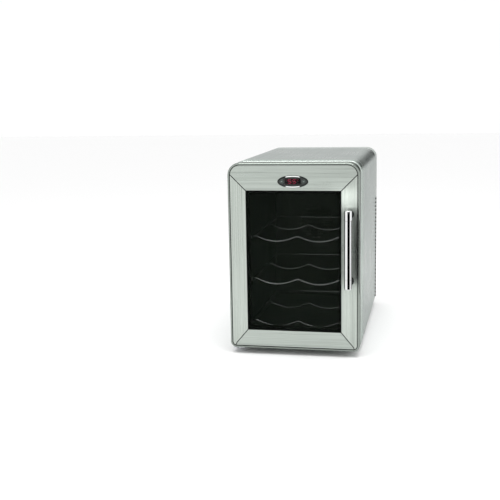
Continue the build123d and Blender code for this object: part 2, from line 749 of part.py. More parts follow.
def make_power_inlet():
    back = REAR - 0.5
    shell = block(
        around(INLET_X, INLET_OUTER[0] / 2),
        (back - INLET_DEPTH, back),
        around(INLET_Z, INLET_OUTER[1] / 2),
    )
    flange_back = REAR - COVER_WALL - GAP / 2
    flange = block(
        around(INLET_X, INLET_FLANGE[0] / 2),
        (flange_back - INLET_FLANGE_THICKNESS, flange_back),
        around(INLET_Z, INLET_FLANGE[1] / 2),
    )
    body = shell + flange
    body -= block(
        around(INLET_X, INLET_CAVITY[0] / 2),
        (back - INLET_CAVITY_DEPTH, back),
        around(INLET_Z, INLET_CAVITY[1] / 2),
    )
    for x, z in inlet_pin_points():
        body -= pin_block(x, z, 0.05)
    return body


def inlet_pin_points():
    points = [(INLET_X + step * INLET_PIN_PITCH, INLET_Z + 2.0) for step in (-1, 0, 1)]
    middle = points[1]
    points[1] = (middle[0], middle[1] - INLET_PIN_EARTH_DROP)
    return points


def pin_block(x, z, clearance=0.0):
    tip = REAR - INLET_PIN_TIP
    tail = REAR - INLET_DEPTH - 4
    half_x = INLET_PIN[0] / 2 + clearance
    half_z = INLET_PIN[1] / 2 + clearance
    return block(around(x, half_x), (tail, tip), around(z, half_z))


def make_inlet_pins():
    return [pin_block(x, z) for x, z in inlet_pin_points()]


def wire_along(points, bend):
    path = FilletPolyline(*points, radius=bend)
    start = Plane(origin=path @ 0, z_dir=path % 0)
    return sweep(start * Circle(WIRE_THICKNESS), path=path)


def make_wiring():
    """Leads from the inlet to the board, and from the board to the fan and the cooling module."""
    plug_y = BOARD_Y[1] + PLUG_BLOCK[1] + GAP
    wires = []
    x, z = PLUG_BLOCKS_AT[0]
    for step in (-1, 1):
        pin_x = INLET_X + step * INLET_PIN_PITCH
        tail_y = REAR - INLET_DEPTH - 4 - GAP
        lift = 7 - 2 * step
        wires.append(
            wire_along(
                [
                    (pin_x, tail_y, INLET_Z + 2),
                    (pin_x, tail_y - lift, INLET_Z + 2),
                    (x + 4 * step, tail_y - lift, z),
                    (x + 4 * step, plug_y, z),
                ],
                2.5,
            )
        )
    side = HOT_FAN_HALF + 20
    for step, (x, z) in enumerate(PLUG_BLOCKS_AT[1:]):
        outer = side + 5 * step
        wires.append(
            wire_along(
                [
                    (x, plug_y, z),
                    (x, plug_y + 6 + 4 * step, z),
                    (outer, plug_y + 6 + 4 * step, z + 12),
                    (outer, plug_y + 6 + 4 * step, STACK_Z - 20 + 30 * step),
                    (HOT_SINK_HALF[0] + 2 + 2 * step, plug_y + 6 + 4 * step, STACK_Z - 10 + 30 * step),
                ],
                3.0,
            )
        )
    return wires


def make_lamp_lens():
    body = block(sides(LAMP_X), LAMP_Y, LAMP_Z)
    body = fillet(body.edges().group_by(Axis.Z)[0], 2.0)
    hollow_y = (LAMP_Y[0] + LAMP_WALL, LAMP_Y[1] - LAMP_WALL)
    body -= block(sides(LAMP_X - LAMP_WALL), hollow_y, (LAMP_Z[0] + LAMP_WALL, LAMP_Z[1]))
    return body


def make_lamp_board():
    top = LAMP_Z[1]
    half_x = LAMP_X - LAMP_WALL - 1
    board_y = (LAMP_Y[0] + LAMP_WALL + 1, LAMP_Y[1] - LAMP_WALL - 1)
    body = block(sides(half_x), board_y, (top - LAMP_BOARD, top))
    middle_y = sum(LAMP_Y) / 2
    for x in (-18, -6, 6, 18):
        lens_z = (top - LAMP_BOARD - 2.2, top - LAMP_BOARD)
        body += rod_z(x, middle_y, 2.2, lens_z)
    return body


def make_sensor_cover():
    wall = CAVITY_HALF_WIDTH
    body = block((wall - SENSOR_DEPTH, wall - GAP / 2), SENSOR_Y, SENSOR_Z)
    body = fillet(body.faces().sort_by(Axis.X)[0].edges(), 1.5)
    hollow_y = (SENSOR_Y[0] + 1.6, SENSOR_Y[1] - 1.6)
    hollow_z = (SENSOR_Z[0] + 1.6, SENSOR_Z[1] - 1.6)
    body -= block((wall - SENSOR_DEPTH + 1.6, wall), hollow_y, hollow_z)
    middle_y = sum(SENSOR_Y) / 2
    for step in range(-2, 3):
        z = sum(SENSOR_Z) / 2 + step * 4.5
        body -= block((wall - SENSOR_DEPTH, wall - SENSOR_DEPTH + 1.6), around(middle_y, 9), around(z, 1.0))
    return body


# ---- hinge ----
def make_lower_bracket():
    body = block(LOWER_PLATE_X, (PIN_Y, LOWER_PLATE_BACK), LOWER_PLATE_Z)
    body = fillet(body.edges().filter_by(Axis.Z).group_by(Axis.Y)[-1], 4.0)
    body += rod_z(PIN_X, PIN_Y, ARM_RADIUS, LOWER_PLATE_Z)
    body -= rod_z(PIN_X, PIN_Y, PIN_RADIUS + BUSH_SEAT, LOWER_PLATE_Z)
    for x, y in LOWER_SCREWS:
        body -= rod_z(x, y, HINGE_SCREW_RADIUS + GAP / 2, LOWER_PLATE_Z)
    return body


def make_upper_bracket():
    flange_back = RING_FRONT + LINER_FLANGE
    body = rod_z(PIN_X, PIN_Y, ARM_RADIUS, ARM_Z)
    body += block(ARM_X, (PIN_Y, TAB_Y[0]), ARM_Z)
    strip_y = (TAB_Y[0], TAB_Y[1] + 2)
    body += block((ARM_X[0], TAB_X[1]), strip_y, ARM_Z)
    body += block(TAB_X, TAB_Y, TAB_Z)
    body -= rod_z(PIN_X, PIN_Y, PIN_RADIUS + BUSH_SEAT, ARM_Z)
    for x, z in UPPER_SCREWS:
        body -= rod_y(x, z, HINGE_SCREW_RADIUS + GAP / 2, (flange_back, TAB_Y[1] + 3))
    return body


def make_hinge_pins():
    lower = rod_z(PIN_X, PIN_Y, PIN_RADIUS, (LOWER_PLATE_Z[0], LOWER_PIN_TOP))
    lower = chamfer(lower.edges().group_by(Axis.Z)[-1], 0.6)
    upper = rod_z(PIN_X, PIN_Y, PIN_RADIUS, (UPPER_BUSH_Z[0] + 1, ARM_Z[1]))
    upper = chamfer(upper.edges().group_by(Axis.Z)[0], 0.6)
    return [lower, upper]


def make_hinge_screws():
    screws = []
    for x, y in LOWER_SCREWS:
        head = rod_z(x, y, HINGE_SCREW_HEAD, (LOWER_PLATE_Z[0] - 2, LOWER_PLATE_Z[0]))
        screws.append(head + rod_z(x, y, HINGE_SCREW_RADIUS, (LOWER_PLATE_Z[0], BODY_BOTTOM + RING_WALL)))
    for x, z in UPPER_SCREWS:
        head = rod_y(x, z, HINGE_SCREW_HEAD - 0.4, (RING_FRONT - 1.3, RING_FRONT))
        screws.append(head + rod_y(x, z, HINGE_SCREW_RADIUS, (RING_FRONT, TAB_Y[1])))
    return screws


def make_hinge_bushes():
    flange_bottom, flange_top, barrel_top = LOWER_BUSH_Z
    lower = rod_z(PIN_X, PIN_Y, BUSH_FLANGE_RADIUS, (flange_bottom, flange_top))
    lower += rod_z(PIN_X, PIN_Y, BUSH_RADIUS, (flange_bottom, barrel_top))
    lower -= rod_z(PIN_X, PIN_Y, BUSH_BORE, (flange_bottom, barrel_top))
    upper = rod_z(PIN_X, PIN_Y, BUSH_RADIUS, UPPER_BUSH_Z)
    upper -= rod_z(PIN_X, PIN_Y, BUSH_BORE, UPPER_BUSH_Z)
    return [lower, upper]


def bush_bores():
    seat = BUSH_RADIUS + BUSH_SEAT
    lower = rod_z(PIN_X, PIN_Y, seat, (DOOR_BOTTOM - 1, LOWER_BUSH_Z[2] + GAP))
    upper = rod_z(PIN_X, PIN_Y, seat, (UPPER_BUSH_Z[0] - GAP, NOTCH_Z[0] + 1))
    return [lower, upper]


def arm_notch():
    return block(NOTCH_X, NOTCH_Y, NOTCH_Z)


def door_inside(y_range):
    """Space inside the door core's outer wall."""
    return prism(door_outline(RIM_WALL + CORE_GAP + CORE_WALL + GAP / 2), y_range)


def make_hinge_blocks():
    blocks = []
    for z_range in (LOWER_BLOCK_Z, UPPER_BLOCK_Z):
        piece = block(BLOCK_X, BLOCK_DEPTH_Y, z_range) & door_inside(BLOCK_DEPTH_Y)
        for bore in bush_bores():
            piece -= bore
        blocks.append(piece)
    return blocks


# ---- door ----
def make_door_rim():
    body = prism(door_outline(0), (DOOR_FRONT, RIM_BACK))
    body = fillet(body.faces().sort_by(Axis.Y)[0].edges(), RIM_EDGE_RADIUS)
    body = fillet(body.faces().sort_by(Axis.Y)[-1].edges(), RIM_REAR_RADIUS)
    body -= prism(door_outline(RIM_WALL), (DOOR_FRONT, RIM_BACK))
    body -= arm_notch()
    for bore in bush_bores():
        body -= bore
    return body


def ellipse_face(semi_axes, z=CONTROL_Z):
    return Pos(0, z) * Ellipse(*semi_axes)


def make_door_core():
    outer = door_outline(RIM_WALL + CORE_GAP)
    body = prism(outer, (CORE_FRONT, CORE_BACK))
    plate_back = CORE_FRONT + CORE_PLATE
    body -= prism(door_outline(RIM_WALL + CORE_GAP + CORE_WALL), (plate_back, CORE_BACK))
    well_y = (plate_back, CORE_BACK)
    margin = GLASS_MARGIN + GAP
    well_outer = window_outline(margin + CORE_WALL)
    body += ring_prism(well_outer, window_outline(margin), (plate_back - 1, CORE_BACK))
    body -= prism(window_outline(0), (CORE_FRONT, plate_back))
    body -= prism(window_outline(margin), well_y)
    opening = (BEZEL_INNER[0] - 0.6, BEZEL_INNER[1])
    body -= prism(ellipse_face(opening), (CORE_FRONT, plate_back))
    for side in (-1, 1):
        well = BUTTON_FLANGE_RADIUS + 2 * GAP
        body -= rod_y(side * BUTTON_X, DISPLAY_Z, well, (CORE_FRONT, plate_back))
    for z in POST_ZS:
        body += rod_y(HANDLE_X, z, BOSS_RADIUS, (plate_back, BOSS_BACK))
        body -= rod_y(HANDLE_X, z, HANDLE_SCREW_RADIUS + GAP, (CORE_FRONT, BOSS_BACK))
    body -= arm_notch()
    for bore in bush_bores():
        body -= bore
    return body


def mitre_cutters():
    """Thin strips along the four mitre lines, which part the face into its four panels."""
    cutters = []
    face_y = (PANEL_FRONT - 1, CORE_FRONT + 1)
    inner_top = (WINDOW_HALF_WIDTH, WINDOW_TOP)
    inner_bottom = (WINDOW_HALF_WIDTH, WINDOW_BOTTOM)
    lines = [
        [(inner_top[0] - 8, inner_top[1] - 8), (MITRE_TOP[0] + 6, MITRE_TOP[1] + 6)],
        [(inner_bottom[0] - 5, inner_bottom[1] + 6), MITRE_BOTTOM],
        [MITRE_BOTTOM, MITRE_BOTTOM_END],
    ]
    for start, end in lines:
        run = math.dist(start, end)
        angle = math.degrees(math.atan2(end[1] - start[1], end[0] - start[0]))
        centre = ((start[0] + end[0]) / 2, (start[1] + end[1]) / 2)
        strip = Pos(*centre) * Rot(0, 0, angle) * Rectangle(run, GROOVE)
        cutters += mirrored_pair(prism(strip, face_y))
    return cutters


def make_trim_panels():
    """Four brushed sheets: top and bottom ones, and the two upright ones."""
    y_range = (PANEL_FRONT, CORE_FRONT)
    sheet = prism(door_outline(RIM_WALL + GROOVE), y_range)
    sheet -= prism(window_outline(PANEL_REVEAL), y_range)
    sheet -= prism(ellipse_face((BEZEL_OUTER[0] + GAP, BEZEL_OUTER[1] + GAP)), y_range)
    for z in POST_ZS:
        sheet -= rod_y(HANDLE_X, z, HANDLE_SCREW_RADIUS + GAP, y_range)
    sheet -= mitre_cutters()
    pieces = [piece for piece in sheet.solids() if piece.volume > 500]
    by_height = sorted(pieces, key=lambda piece: piece.center().Z)
    left, right = sorted(by_height[1:-1], key=lambda piece: piece.center().X)
    return {"top": by_height[-1], "bottom": by_height[0], "left": left, "right": right}


def make_pane(y_range):
    pane = prism(window_outline(GLASS_MARGIN, 3.0), y_range)
    return chamfer(pane.faces().sort_by(Axis.Y)[0].edges(), 0.4)


def make_spacer():
    inner, outer = SPACER_INSET[1], SPACER_INSET[0]
    return ring_prism(window_outline(-outer), window_outline(-inner), SPACER_Y)


def make_inner_frame():
    y_range = (CORE_BACK, DOOR_BACK)
    body = ring_prism(
        door_outline(RIM_WALL + CORE_GAP), window_outline(-FRAME_WINDOW_INSET, 4.0), y_range
    )
    pocket_y = (CORE_BACK, FRAME_POCKET_Y)
    pocket_outer = door_outline(RIM_WALL + CORE_GAP + CORE_WALL)
    pocket_inner = window_outline(GLASS_MARGIN + GAP + CORE_WALL)
    body -= ring_prism(pocket_outer, pocket_inner, pocket_y)
    body -= gasket_ring(0.0, GASKET_Y)
    body -= arm_notch()
    return body


def gasket_ring(inset, y_range):
    half, bottom, top = GASKET_OUTER
    width = GASKET_WIDTH - inset
    outer = outline(half - inset, bottom + inset, top - inset, 6 - inset, 6 - inset)
    inner = outline(half - width, bottom + width, top - width, 1.0, 1.0)
    return ring_prism(outer, inner, y_range)


def make_gasket():
    body = gasket_ring(GAP / 2, GASKET_Y)
    hollow_y = (GASKET_Y[0] + GASKET_WALL, GASKET_Y[1] - GASKET_WALL)
    body -= gasket_ring(GASKET_WALL + GAP / 2, hollow_y)
    return body


def make_magnets():
    half, bottom, top = GASKET_OUTER
    low = MAGNET_MARGIN
    high = GASKET_WIDTH - MAGNET_MARGIN
    right = block((half - high, half - low), MAGNET_Y, (bottom + 14, top - 14))
    lower = block(sides(half - 14), MAGNET_Y, (bottom + low, bottom + high))
    upper = block(sides(half - 14), MAGNET_Y, (top - high, top - low))
    return [right, mirror(right, Plane.YZ), lower, upper]


def make_door_foam():
    y_range = (CORE_FRONT + CORE_PLATE + GAP, FRAME_POCKET_Y - GAP)
    body = door_inside(y_range)
    body -= prism(window_outline(GLASS_MARGIN + GAP + CORE_WALL + GAP), y_range)
    margin = 1.0
    for z0, z1 in (LOWER_BLOCK_Z, UPPER_BLOCK_Z):
        body -= block((BLOCK_X[0] - margin, BLOCK_X[1] + margin), y_range, (z0 - 4, z1 + margin))
    body -= block((NOTCH_X[0], NOTCH_X[1] + margin), y_range, (NOTCH_Z[0] - 2, NOTCH_Z[1] + margin))
    for z in POST_ZS:
        body -= rod_y(HANDLE_X, z, BOSS_RADIUS + GAP, y_range)
    half_x, half_z = CONTROL_BOARD_HALF
    board_y = (y_range[0], CONTROL_BOARD_Y[1] + 3)
    body -= block(sides(half_x + 1), board_y, (DISPLAY_Z - half_z - 4, DISPLAY_Z + half_z + 1))
    return body


# ---- control panel ----
def make_bezel():
    y_range = (BEZEL_FRONT, CORE_FRONT)
    body = prism(ellipse_face(BEZEL_OUTER), y_range)
    body = fillet(body.faces().sort_by(Axis.Y)[0].edges(), 0.9)
    return body - prism(ellipse_face(BEZEL_INNER), y_range)


def make_fascia():
    body = prism(ellipse_face((BEZEL_INNER[0] - 0.1, BEZEL_INNER[1] - 0.1)), FASCIA_Y)
    half_x, half_z = DISPLAY_HALF
    body -= block(sides(half_x + 0.1), FASCIA_Y, around(DISPLAY_Z, half_z + 0.1))
    for side in (-1, 1):
        body -= rod_y(side * BUTTON_X, DISPLAY_Z, BUTTON_RADIUS + BUTTON_GAP, FASCIA_Y)
    return body


def make_display_window():
    half_x, half_z = DISPLAY_HALF
    return block(sides(half_x), DISPLAY_Y, around(DISPLAY_Z, half_z))


def make_button(side):
    body = rod_y(side * BUTTON_X, DISPLAY_Z, BUTTON_RADIUS, BUTTON_Y)
    body = fillet(body.edges().group_by(Axis.Y)[0], 0.8)
    return body + rod_y(side * BUTTON_X, DISPLAY_Z, BUTTON_FLANGE_RADIUS, BUTTON_FLANGE_Y)


def make_control_board():
    half_x, half_z = CONTROL_BOARD_HALF
    body = block(sides(half_x), CONTROL_BOARD_Y, around(DISPLAY_Z, half_z))
    for side in (-1, 1):
        switch_y = (SWITCH_FRONT, CONTROL_BOARD_Y[0])
        body += rod_y(side * BUTTON_X, DISPLAY_Z, SWITCH_RADIUS, switch_y)
    return body


def make_display_module():
    half_x, half_z = MODULE_HALF
    y_range = (MODULE_FRONT, CONTROL_BOARD_Y[0])
    return block(sides(half_x), y_range, around(DISPLAY_Z, half_z))


# ---- handle ----
def make_handle_tube():
    z_range = (HANDLE_Z[0] + HANDLE_CAP + HANDLE_SEAM, HANDLE_Z[1] - HANDLE_CAP - HANDLE_SEAM)
    tube = rod_z(HANDLE_X, HANDLE_Y, HANDLE_RADIUS, z_range)
    return tube - rod_z(HANDLE_X, HANDLE_Y, HANDLE_RADIUS - HANDLE_TUBE_WALL, z_range)


def make_handle_caps():
    caps = []
    spigot_radius = HANDLE_RADIUS - HANDLE_TUBE_WALL - GAP
    ranges = (
        (HANDLE_Z[0], HANDLE_Z[0] + HANDLE_CAP, 0),
        (HANDLE_Z[1] - HANDLE_CAP, HANDLE_Z[1], -1),
    )
    for (z0, z1, end), post_z in zip(ranges, POST_ZS):
        cap = rod_z(HANDLE_X, HANDLE_Y, HANDLE_RADIUS, (z0, z1))
        cap = fillet(cap.edges().group_by(Axis.Z)[end], HANDLE_EDGE)
        spigot_z = (z1 - 1, z1 + SPIGOT_LENGTH) if end == 0 else (z0 - SPIGOT_LENGTH, z0 + 1)
        cap += rod_z(HANDLE_X, HANDLE_Y, spigot_radius, spigot_z)
        cap -= rod_y(HANDLE_X, post_z, POST_RADIUS + 0.05, (POST_START, HANDLE_Y + HANDLE_RADIUS))
        caps.append(cap)
    return caps


def make_handle_posts():
    collar_front = PANEL_FRONT - COLLAR_LENGTH
    posts = []
    for z in POST_ZS:
        post = rod_y(HANDLE_X, z, POST_RADIUS, (POST_START, collar_front))
        post -= rod_y(HANDLE_X, z, HANDLE_SCREW_RADIUS + 0.05, (HANDLE_SCREW_TIP, collar_front))
        posts.append(post)
    return posts


def make_handle_collars():
    y_range = (PANEL_FRONT - COLLAR_LENGTH, PANEL_FRONT)
    collars = []
    for z in POST_ZS:
        collar = rod_y(HANDLE_X, z, COLLAR_RADIUS, y_range)
        collar = fillet(collar.edges().group_by(Axis.Y)[0], 1.0)
        collars.append(collar - rod_y(HANDLE_X, z, HANDLE_SCREW_RADIUS + GAP, y_range))
    return collars


def make_handle_screws():
    screws = []
    for z in POST_ZS:
        shank = rod_y(HANDLE_X, z, HANDLE_SCREW_RADIUS, (HANDLE_SCREW_TIP, BOSS_BACK))
        screws.append(shank + rod_y(HANDLE_X, z, HANDLE_SCREW_HEAD, (BOSS_BACK, BOSS_BACK + 2.6)))
    return screws


feet, foot_screws = make_feet()
panels = make_trim_panels()
stack_block = block(sides(BLOCK_HALF), BLOCK_Y, around(STACK_Z, BLOCK_HALF))

nodes = {
    "front_ring": make_front_ring(),
    "outer_wrap": make_outer_wrap(),
    "base_pan": make_base_pan(),
    "feet": feet,
    "cabinet_screws": foot_screws + make_cover_screws() + make_hinge_screws(),
    "inner_liner": make_liner(),
    "insulation_foam": make_foam(),
    "strike_strips": make_strike_strips(),
    "rear_plate": make_rear_plate(),
    "rear_cover": make_rear_cover(),
    "inner_fan_cover": make_inner_fan_cover(),
    "cold_fan_frame": make_fan_frame(COLD_FAN_HALF, COLD_FAN_BORE, COLD_FAN_HUB, COLD_FAN_Y),
    "cold_fan_rotor": make_fan_rotor(COLD_FAN_ROTOR, COLD_FAN_HUB, COLD_FAN_Y),
    "cold_sink": make_cold_sink(),
    "cold_block": stack_block,
    "peltier_module": make_peltier(),
    "hot_sink": make_hot_sink(),
    "cooling_screws": make_clamp_screws() + make_fan_screws() + make_inner_cover_screws(),
    "hot_fan_frame": make_fan_frame(HOT_FAN_HALF, HOT_FAN_BORE, HOT_FAN_HUB, HOT_FAN_Y),
    "hot_fan_rotor": make_fan_rotor(HOT_FAN_ROTOR, HOT_FAN_HUB, HOT_FAN_Y),
    "power_board": make_power_board(),
    "power_components": make_power_components(),
    "power_inlet": make_power_inlet(),
    "inlet_pins": make_inlet_pins(),
    "wiring": make_wiring(),
    "lamp_lens": make_lamp_lens(),
    "lamp_board": make_lamp_board(),
    "sensor_cover": make_sensor_cover(),
    "hinge_bracket_bottom": make_lower_bracket(),
    "hinge_bracket_top": make_upper_bracket(),
    "hinge_pins": make_hinge_pins(),
    "hinge_bushes": make_hinge_bushes(),
    "hinge_blocks": make_hinge_blocks(),
    "door_rim": make_door_rim(),
    "door_core": make_door_core(),
    "outer_glass": make_pane(GLASS_Y),
    "glass_spacer": make_spacer(),
    "inner_glass": make_pane(INNER_GLASS_Y),
    "door_inner_frame": make_inner_frame(),
    "door_gasket": make_gasket(),
    "gasket_magnets": make_magnets(),
    "door_foam": make_door_foam(),
    "control_bezel": make_bezel(),
    "control_fascia": make_fascia(),
    "display_window": make_display_window(),
    "button_left": make_button(-1),
    "button_right": make_button(1),
    "control_board": [make_control_board(), make_display_module()],
    "handle_tube": make_handle_tube(),
    "handle_end_caps": make_handle_caps(),
    "handle_posts": make_handle_posts(),
    "handle_collars": make_handle_collars(),
    "handle_screws": make_handle_screws(),
}
for side, panel in panels.items():
    nodes["trim_panel_" + side] = panel
for level, peak in SHELF_PEAKS.items():
    nodes["shelf_" + level] = make_shelf(peak)

os.makedirs("parts", exist_ok=True)
for name, shape in nodes.items():
    if isinstance(shape, list):
        shape = Compound(children=shape)
    export_step(shape, "parts/" + name + ".step")
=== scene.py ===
import math

import bmesh
import bpy
from mathutils import Matrix, Vector


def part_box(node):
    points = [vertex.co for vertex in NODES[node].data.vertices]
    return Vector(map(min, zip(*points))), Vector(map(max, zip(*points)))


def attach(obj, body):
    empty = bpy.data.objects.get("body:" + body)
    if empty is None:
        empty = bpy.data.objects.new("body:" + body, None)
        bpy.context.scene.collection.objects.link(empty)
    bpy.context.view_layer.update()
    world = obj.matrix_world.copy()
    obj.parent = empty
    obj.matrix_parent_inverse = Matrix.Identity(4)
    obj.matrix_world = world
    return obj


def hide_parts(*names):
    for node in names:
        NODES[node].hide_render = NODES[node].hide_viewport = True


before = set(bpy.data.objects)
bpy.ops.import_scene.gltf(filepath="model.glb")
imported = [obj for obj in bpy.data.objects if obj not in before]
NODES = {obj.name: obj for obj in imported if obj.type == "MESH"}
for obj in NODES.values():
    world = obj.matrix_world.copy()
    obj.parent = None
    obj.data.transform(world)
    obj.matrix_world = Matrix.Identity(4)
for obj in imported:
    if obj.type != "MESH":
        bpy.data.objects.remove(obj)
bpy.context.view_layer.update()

# Countertop wine cooler: the looks. The scene is in metres, in the CAD's frame.
# Sizes and places of the object's own pieces are given in millimetres, those of the studio in metres.
MM = 0.001

# Places that the CAD settles: the cooling stack's centre height, the feet, the rear cover's louvres.
STACK_Z = 215.0
FEET_AT = [(x, y) for x in (-100.0, 100.0) for y in (-110.0, 174.0)]
LOUVRE_COUNT = 27
LOUVRE_FIRST_Z = 26.0
LOUVRE_PITCH = 8.9
LOUVRE_HALF_HEIGHT = 1.8
LOUVRE_Y = (213.0, 245.0)


# ---------------------------------------------------------------- materials
class Shader:
    """A small builder for one procedural material."""

    def __init__(self, name, colour, roughness, metallic=0.0, **sockets):
        self.mat = bpy.data.materials.new(name)
        self.mat.use_nodes = True
        self.tree = self.mat.node_tree
        self.bsdf = self.tree.nodes["Principled BSDF"]
        self.put("Base Color", (*colour, 1.0))
        self.put("Metallic", metallic)
        self.put("Roughness", roughness)
        for key, value in sockets.items():
            self.put(key.replace("_", " "), value)
        self.coords = None
        self.height = None

    def put(self, socket, value):
        self.bsdf.inputs[socket].default_value = value

    def node(self, kind, **settings):
        made = self.tree.nodes.new(kind)
        for key, value in settings.items():
            setattr(made, key, value)
        return made

    def link(self, source, target):
        self.tree.links.new(source, target)

    def space(self, scale=(1, 1, 1), offset=(0, 0, 0), turn=(0, 0, 0)):
        """Object coordinates: stretched along each axis, then turned, then moved."""
        if self.coords is None:
            self.coords = self.node("ShaderNodeTexCoord")
        mapping = self.node("ShaderNodeMapping")
        mapping.inputs["Scale"].default_value = scale
        mapping.inputs["Location"].default_value = offset
        mapping.inputs["Rotation"].default_value = turn
        self.link(self.coords.outputs["Object"], mapping.inputs["Vector"])
        return mapping.outputs["Vector"]

    def position(self):
        """The X, Y and Z outputs of the object coordinates, in metres."""
        split = self.node("ShaderNodeSeparateXYZ")
        self.link(self.space(), split.inputs["Vector"])
        return split.outputs["X"], split.outputs["Y"], split.outputs["Z"]

    def noise(self, scale, detail, roughness=0.55, distortion=0.0, offset=0.0):
        made = self.node("ShaderNodeTexNoise")
        made.inputs["Scale"].default_value = 1.0
        made.inputs["Detail"].default_value = detail
        made.inputs["Roughness"].default_value = roughness
        made.inputs["Distortion"].default_value = distortion
        shift = (offset, offset * 0.7, offset * 1.3)
        self.link(self.space(scale, offset=shift), made.inputs["Vector"])
        return made.outputs["Fac"]

    def ramp(self, source, stops):
        made = self.node("ShaderNodeValToRGB")
        ramp = made.color_ramp
        while len(ramp.elements) < len(stops):
            ramp.elements.new(0.5)
        for element, (place, colour) in zip(ramp.elements, stops):
            element.position = place
            element.color = (*colour, 1.0)
        self.link(source, made.inputs["Fac"])
        return made.outputs["Color"]

    def remap(self, source, low, high, out_low, out_high):
        made = self.node("ShaderNodeMapRange")
        made.inputs["From Min"].default_value = low
        made.inputs["From Max"].default_value = high
        made.inputs["To Min"].default_value = out_low
        made.inputs["To Max"].default_value = out_high
        self.link(source, made.inputs["Value"])
        return made.outputs["Result"]

    def maths(self, operation, first, second=0.0):
        made = self.node("ShaderNodeMath", operation=operation)
        for index, value in enumerate((first, second)):
            if isinstance(value, (int, float)):
                made.inputs[index].default_value = value
            else:
                self.link(value, made.inputs[index])
        return made.outputs["Value"]

    def blend(self, factor, first, second, mode="MIX"):
        made = self.node("ShaderNodeMix", data_type="RGBA", blend_type=mode)
        if isinstance(factor, (int, float)):
            made.inputs["Factor"].default_value = factor
        else:
            self.link(factor, made.inputs["Factor"])
        for socket, value in ((made.inputs[6], first), (made.inputs[7], second)):
            if isinstance(value, tuple):
                socket.default_value = (*value, 1.0)
            else:
                self.link(value, socket)
        return made.outputs[2]

    def colour(self, output):
        self.link(output, self.bsdf.inputs["Base Color"])

    def rough(self, output):
        self.link(output, self.bsdf.inputs["Roughness"])

    def bump(self, source, distance, strength):
        made = self.node("ShaderNodeBump")
        made.inputs["Strength"].default_value = strength
        made.inputs["Distance"].default_value = distance
        self.link(source, made.inputs["Height"])
        if self.height is not None:
            self.link(self.height, made.inputs["Normal"])
        self.height = made.outputs["Normal"]
        self.link(self.height, self.bsdf.inputs["Normal"])

    def edge_wear(self):
        """0 on flats and 1 on sharp edges: how far a bevelled normal turns from the true one."""
        bevel = self.node("ShaderNodeBevel", samples=4)
        bevel.inputs["Radius"].default_value = 0.4 * MM
        geometry = self.node("ShaderNodeNewGeometry")
        apart = self.node("ShaderNodeVectorMath", operation="DISTANCE")
        self.link(bevel.outputs["Normal"], apart.inputs[0])
        self.link(geometry.outputs["Normal"], apart.inputs[1])
        return self.remap(apart.outputs["Value"], 0.02, 0.2, 0.0, 1.0)


def shaded(colour, factor, lift=0.0):
    """A colour made darker or lighter, no channel above 1."""
    return tuple(min(1.0, channel * factor + lift) for channel in colour)


def brushed(name, grain, colour, roughness=0.3, depth=1.0, spin="Z", contrast=1.0):
    """Brushed steel. grain is the axis, 0, 1 or 2, that the brush lines run along.

    Highlights stretch across the lines, along the tangent that turns round the spin axis."""

    def stretched(across, along):
        scale = [across] * 3
        scale[grain] = along
        return tuple(scale)

    look = Shader(name, colour, metallic=1.0, roughness=roughness, Anisotropic=0.55)
    look.put("Specular Tint", (0.60, 0.62, 0.61, 1.0))
    tangent = look.node("ShaderNodeTangent", direction_type="RADIAL", axis=spin)
    look.link(tangent.outputs["Tangent"], look.bsdf.inputs["Tangent"])
    fine = look.noise(stretched(2600, 9), detail=2.0)
    lines = look.noise(stretched(900, 5), detail=4.0, roughness=0.7)
    bands = look.noise(stretched(120, 2.2), detail=3.0, offset=3.1)
    waves = look.noise(stretched(26, 1.6), detail=1.0, offset=1.7)
    cloud = look.noise((14, 14, 14), detail=2.0, offset=7.7)
    dark, light = shaded(colour, 1 - 0.24 * contrast), shaded(colour, 1 + 0.16 * contrast)
    mixed = look.ramp(lines, [(0.25, dark), (0.5, colour), (0.8, light)])
    tone = look.ramp(bands, [(0.25, (0.84, 0.85, 0.845)), (0.75, (1.0, 1.0, 1.0))])
    mixed = look.blend(0.8, mixed, tone, "MULTIPLY")
    haze = look.ramp(cloud, [(0.3, (0.965, 0.97, 0.965)), (0.7, (1.0, 1.0, 1.0))])
    look.colour(look.blend(0.7, mixed, haze, "MULTIPLY"))
    look.rough(look.remap(look.maths("ADD", lines, cloud), 0.7, 1.35, roughness - 0.06, roughness + 0.09))
    look.bump(fine, 0.02 * MM * depth, 0.8)
    look.bump(lines, 0.035 * MM * depth, 0.6)
    look.bump(waves, 0.02 * MM * depth, 0.3)
    return look.mat


def moulded(name, colour, roughness, grain, metallic=0.0, spread=0.12, shade=None, **sockets):
    """Moulded surface: a fine spark texture, a cloudy tone and lighter handled edges."""
    look = Shader(name, colour, metallic=metallic, roughness=roughness, **sockets)
    if metallic:
        look.put("Specular Tint", (*shaded(colour, 0.95), 1.0))
    cloud = look.noise((22, 22, 22), detail=4.0)
    dark, light = shaded(colour, 1 - spread), shaded(colour, 1 + spread, 0.002)
    base = look.ramp(cloud, [(0.3, dark), (0.55, colour), (0.8, light)])
    painted = look.blend(look.maths("MULTIPLY", look.edge_wear(), 0.35), base, shaded(colour, 1.5, 0.03))
    look.colour(shade(look, painted) if shade else painted)
    look.rough(look.remap(cloud, 0.3, 0.75, roughness - 0.07, roughness + 0.08))
    look.bump(look.noise((1500, 1500, 1500), detail=1.0, offset=2.0), grain * MM, 0.7)
    if not metallic:
        look.bump(look.noise((60, 60, 60), detail=2.0, offset=5.0), 0.02 * MM, 0.3)
    return look.mat


def inside(look, *ranges):
    """1 where every (value, low, high) has its value between low and high, otherwise 0."""
    mask = 1.0
    for value, low, high in ranges:
        mask = look.maths("MULTIPLY", mask, look.maths("GREATER_THAN", value, low))
        mask = look.maths("MULTIPLY", mask, look.maths("LESS_THAN", value, high))
    return mask


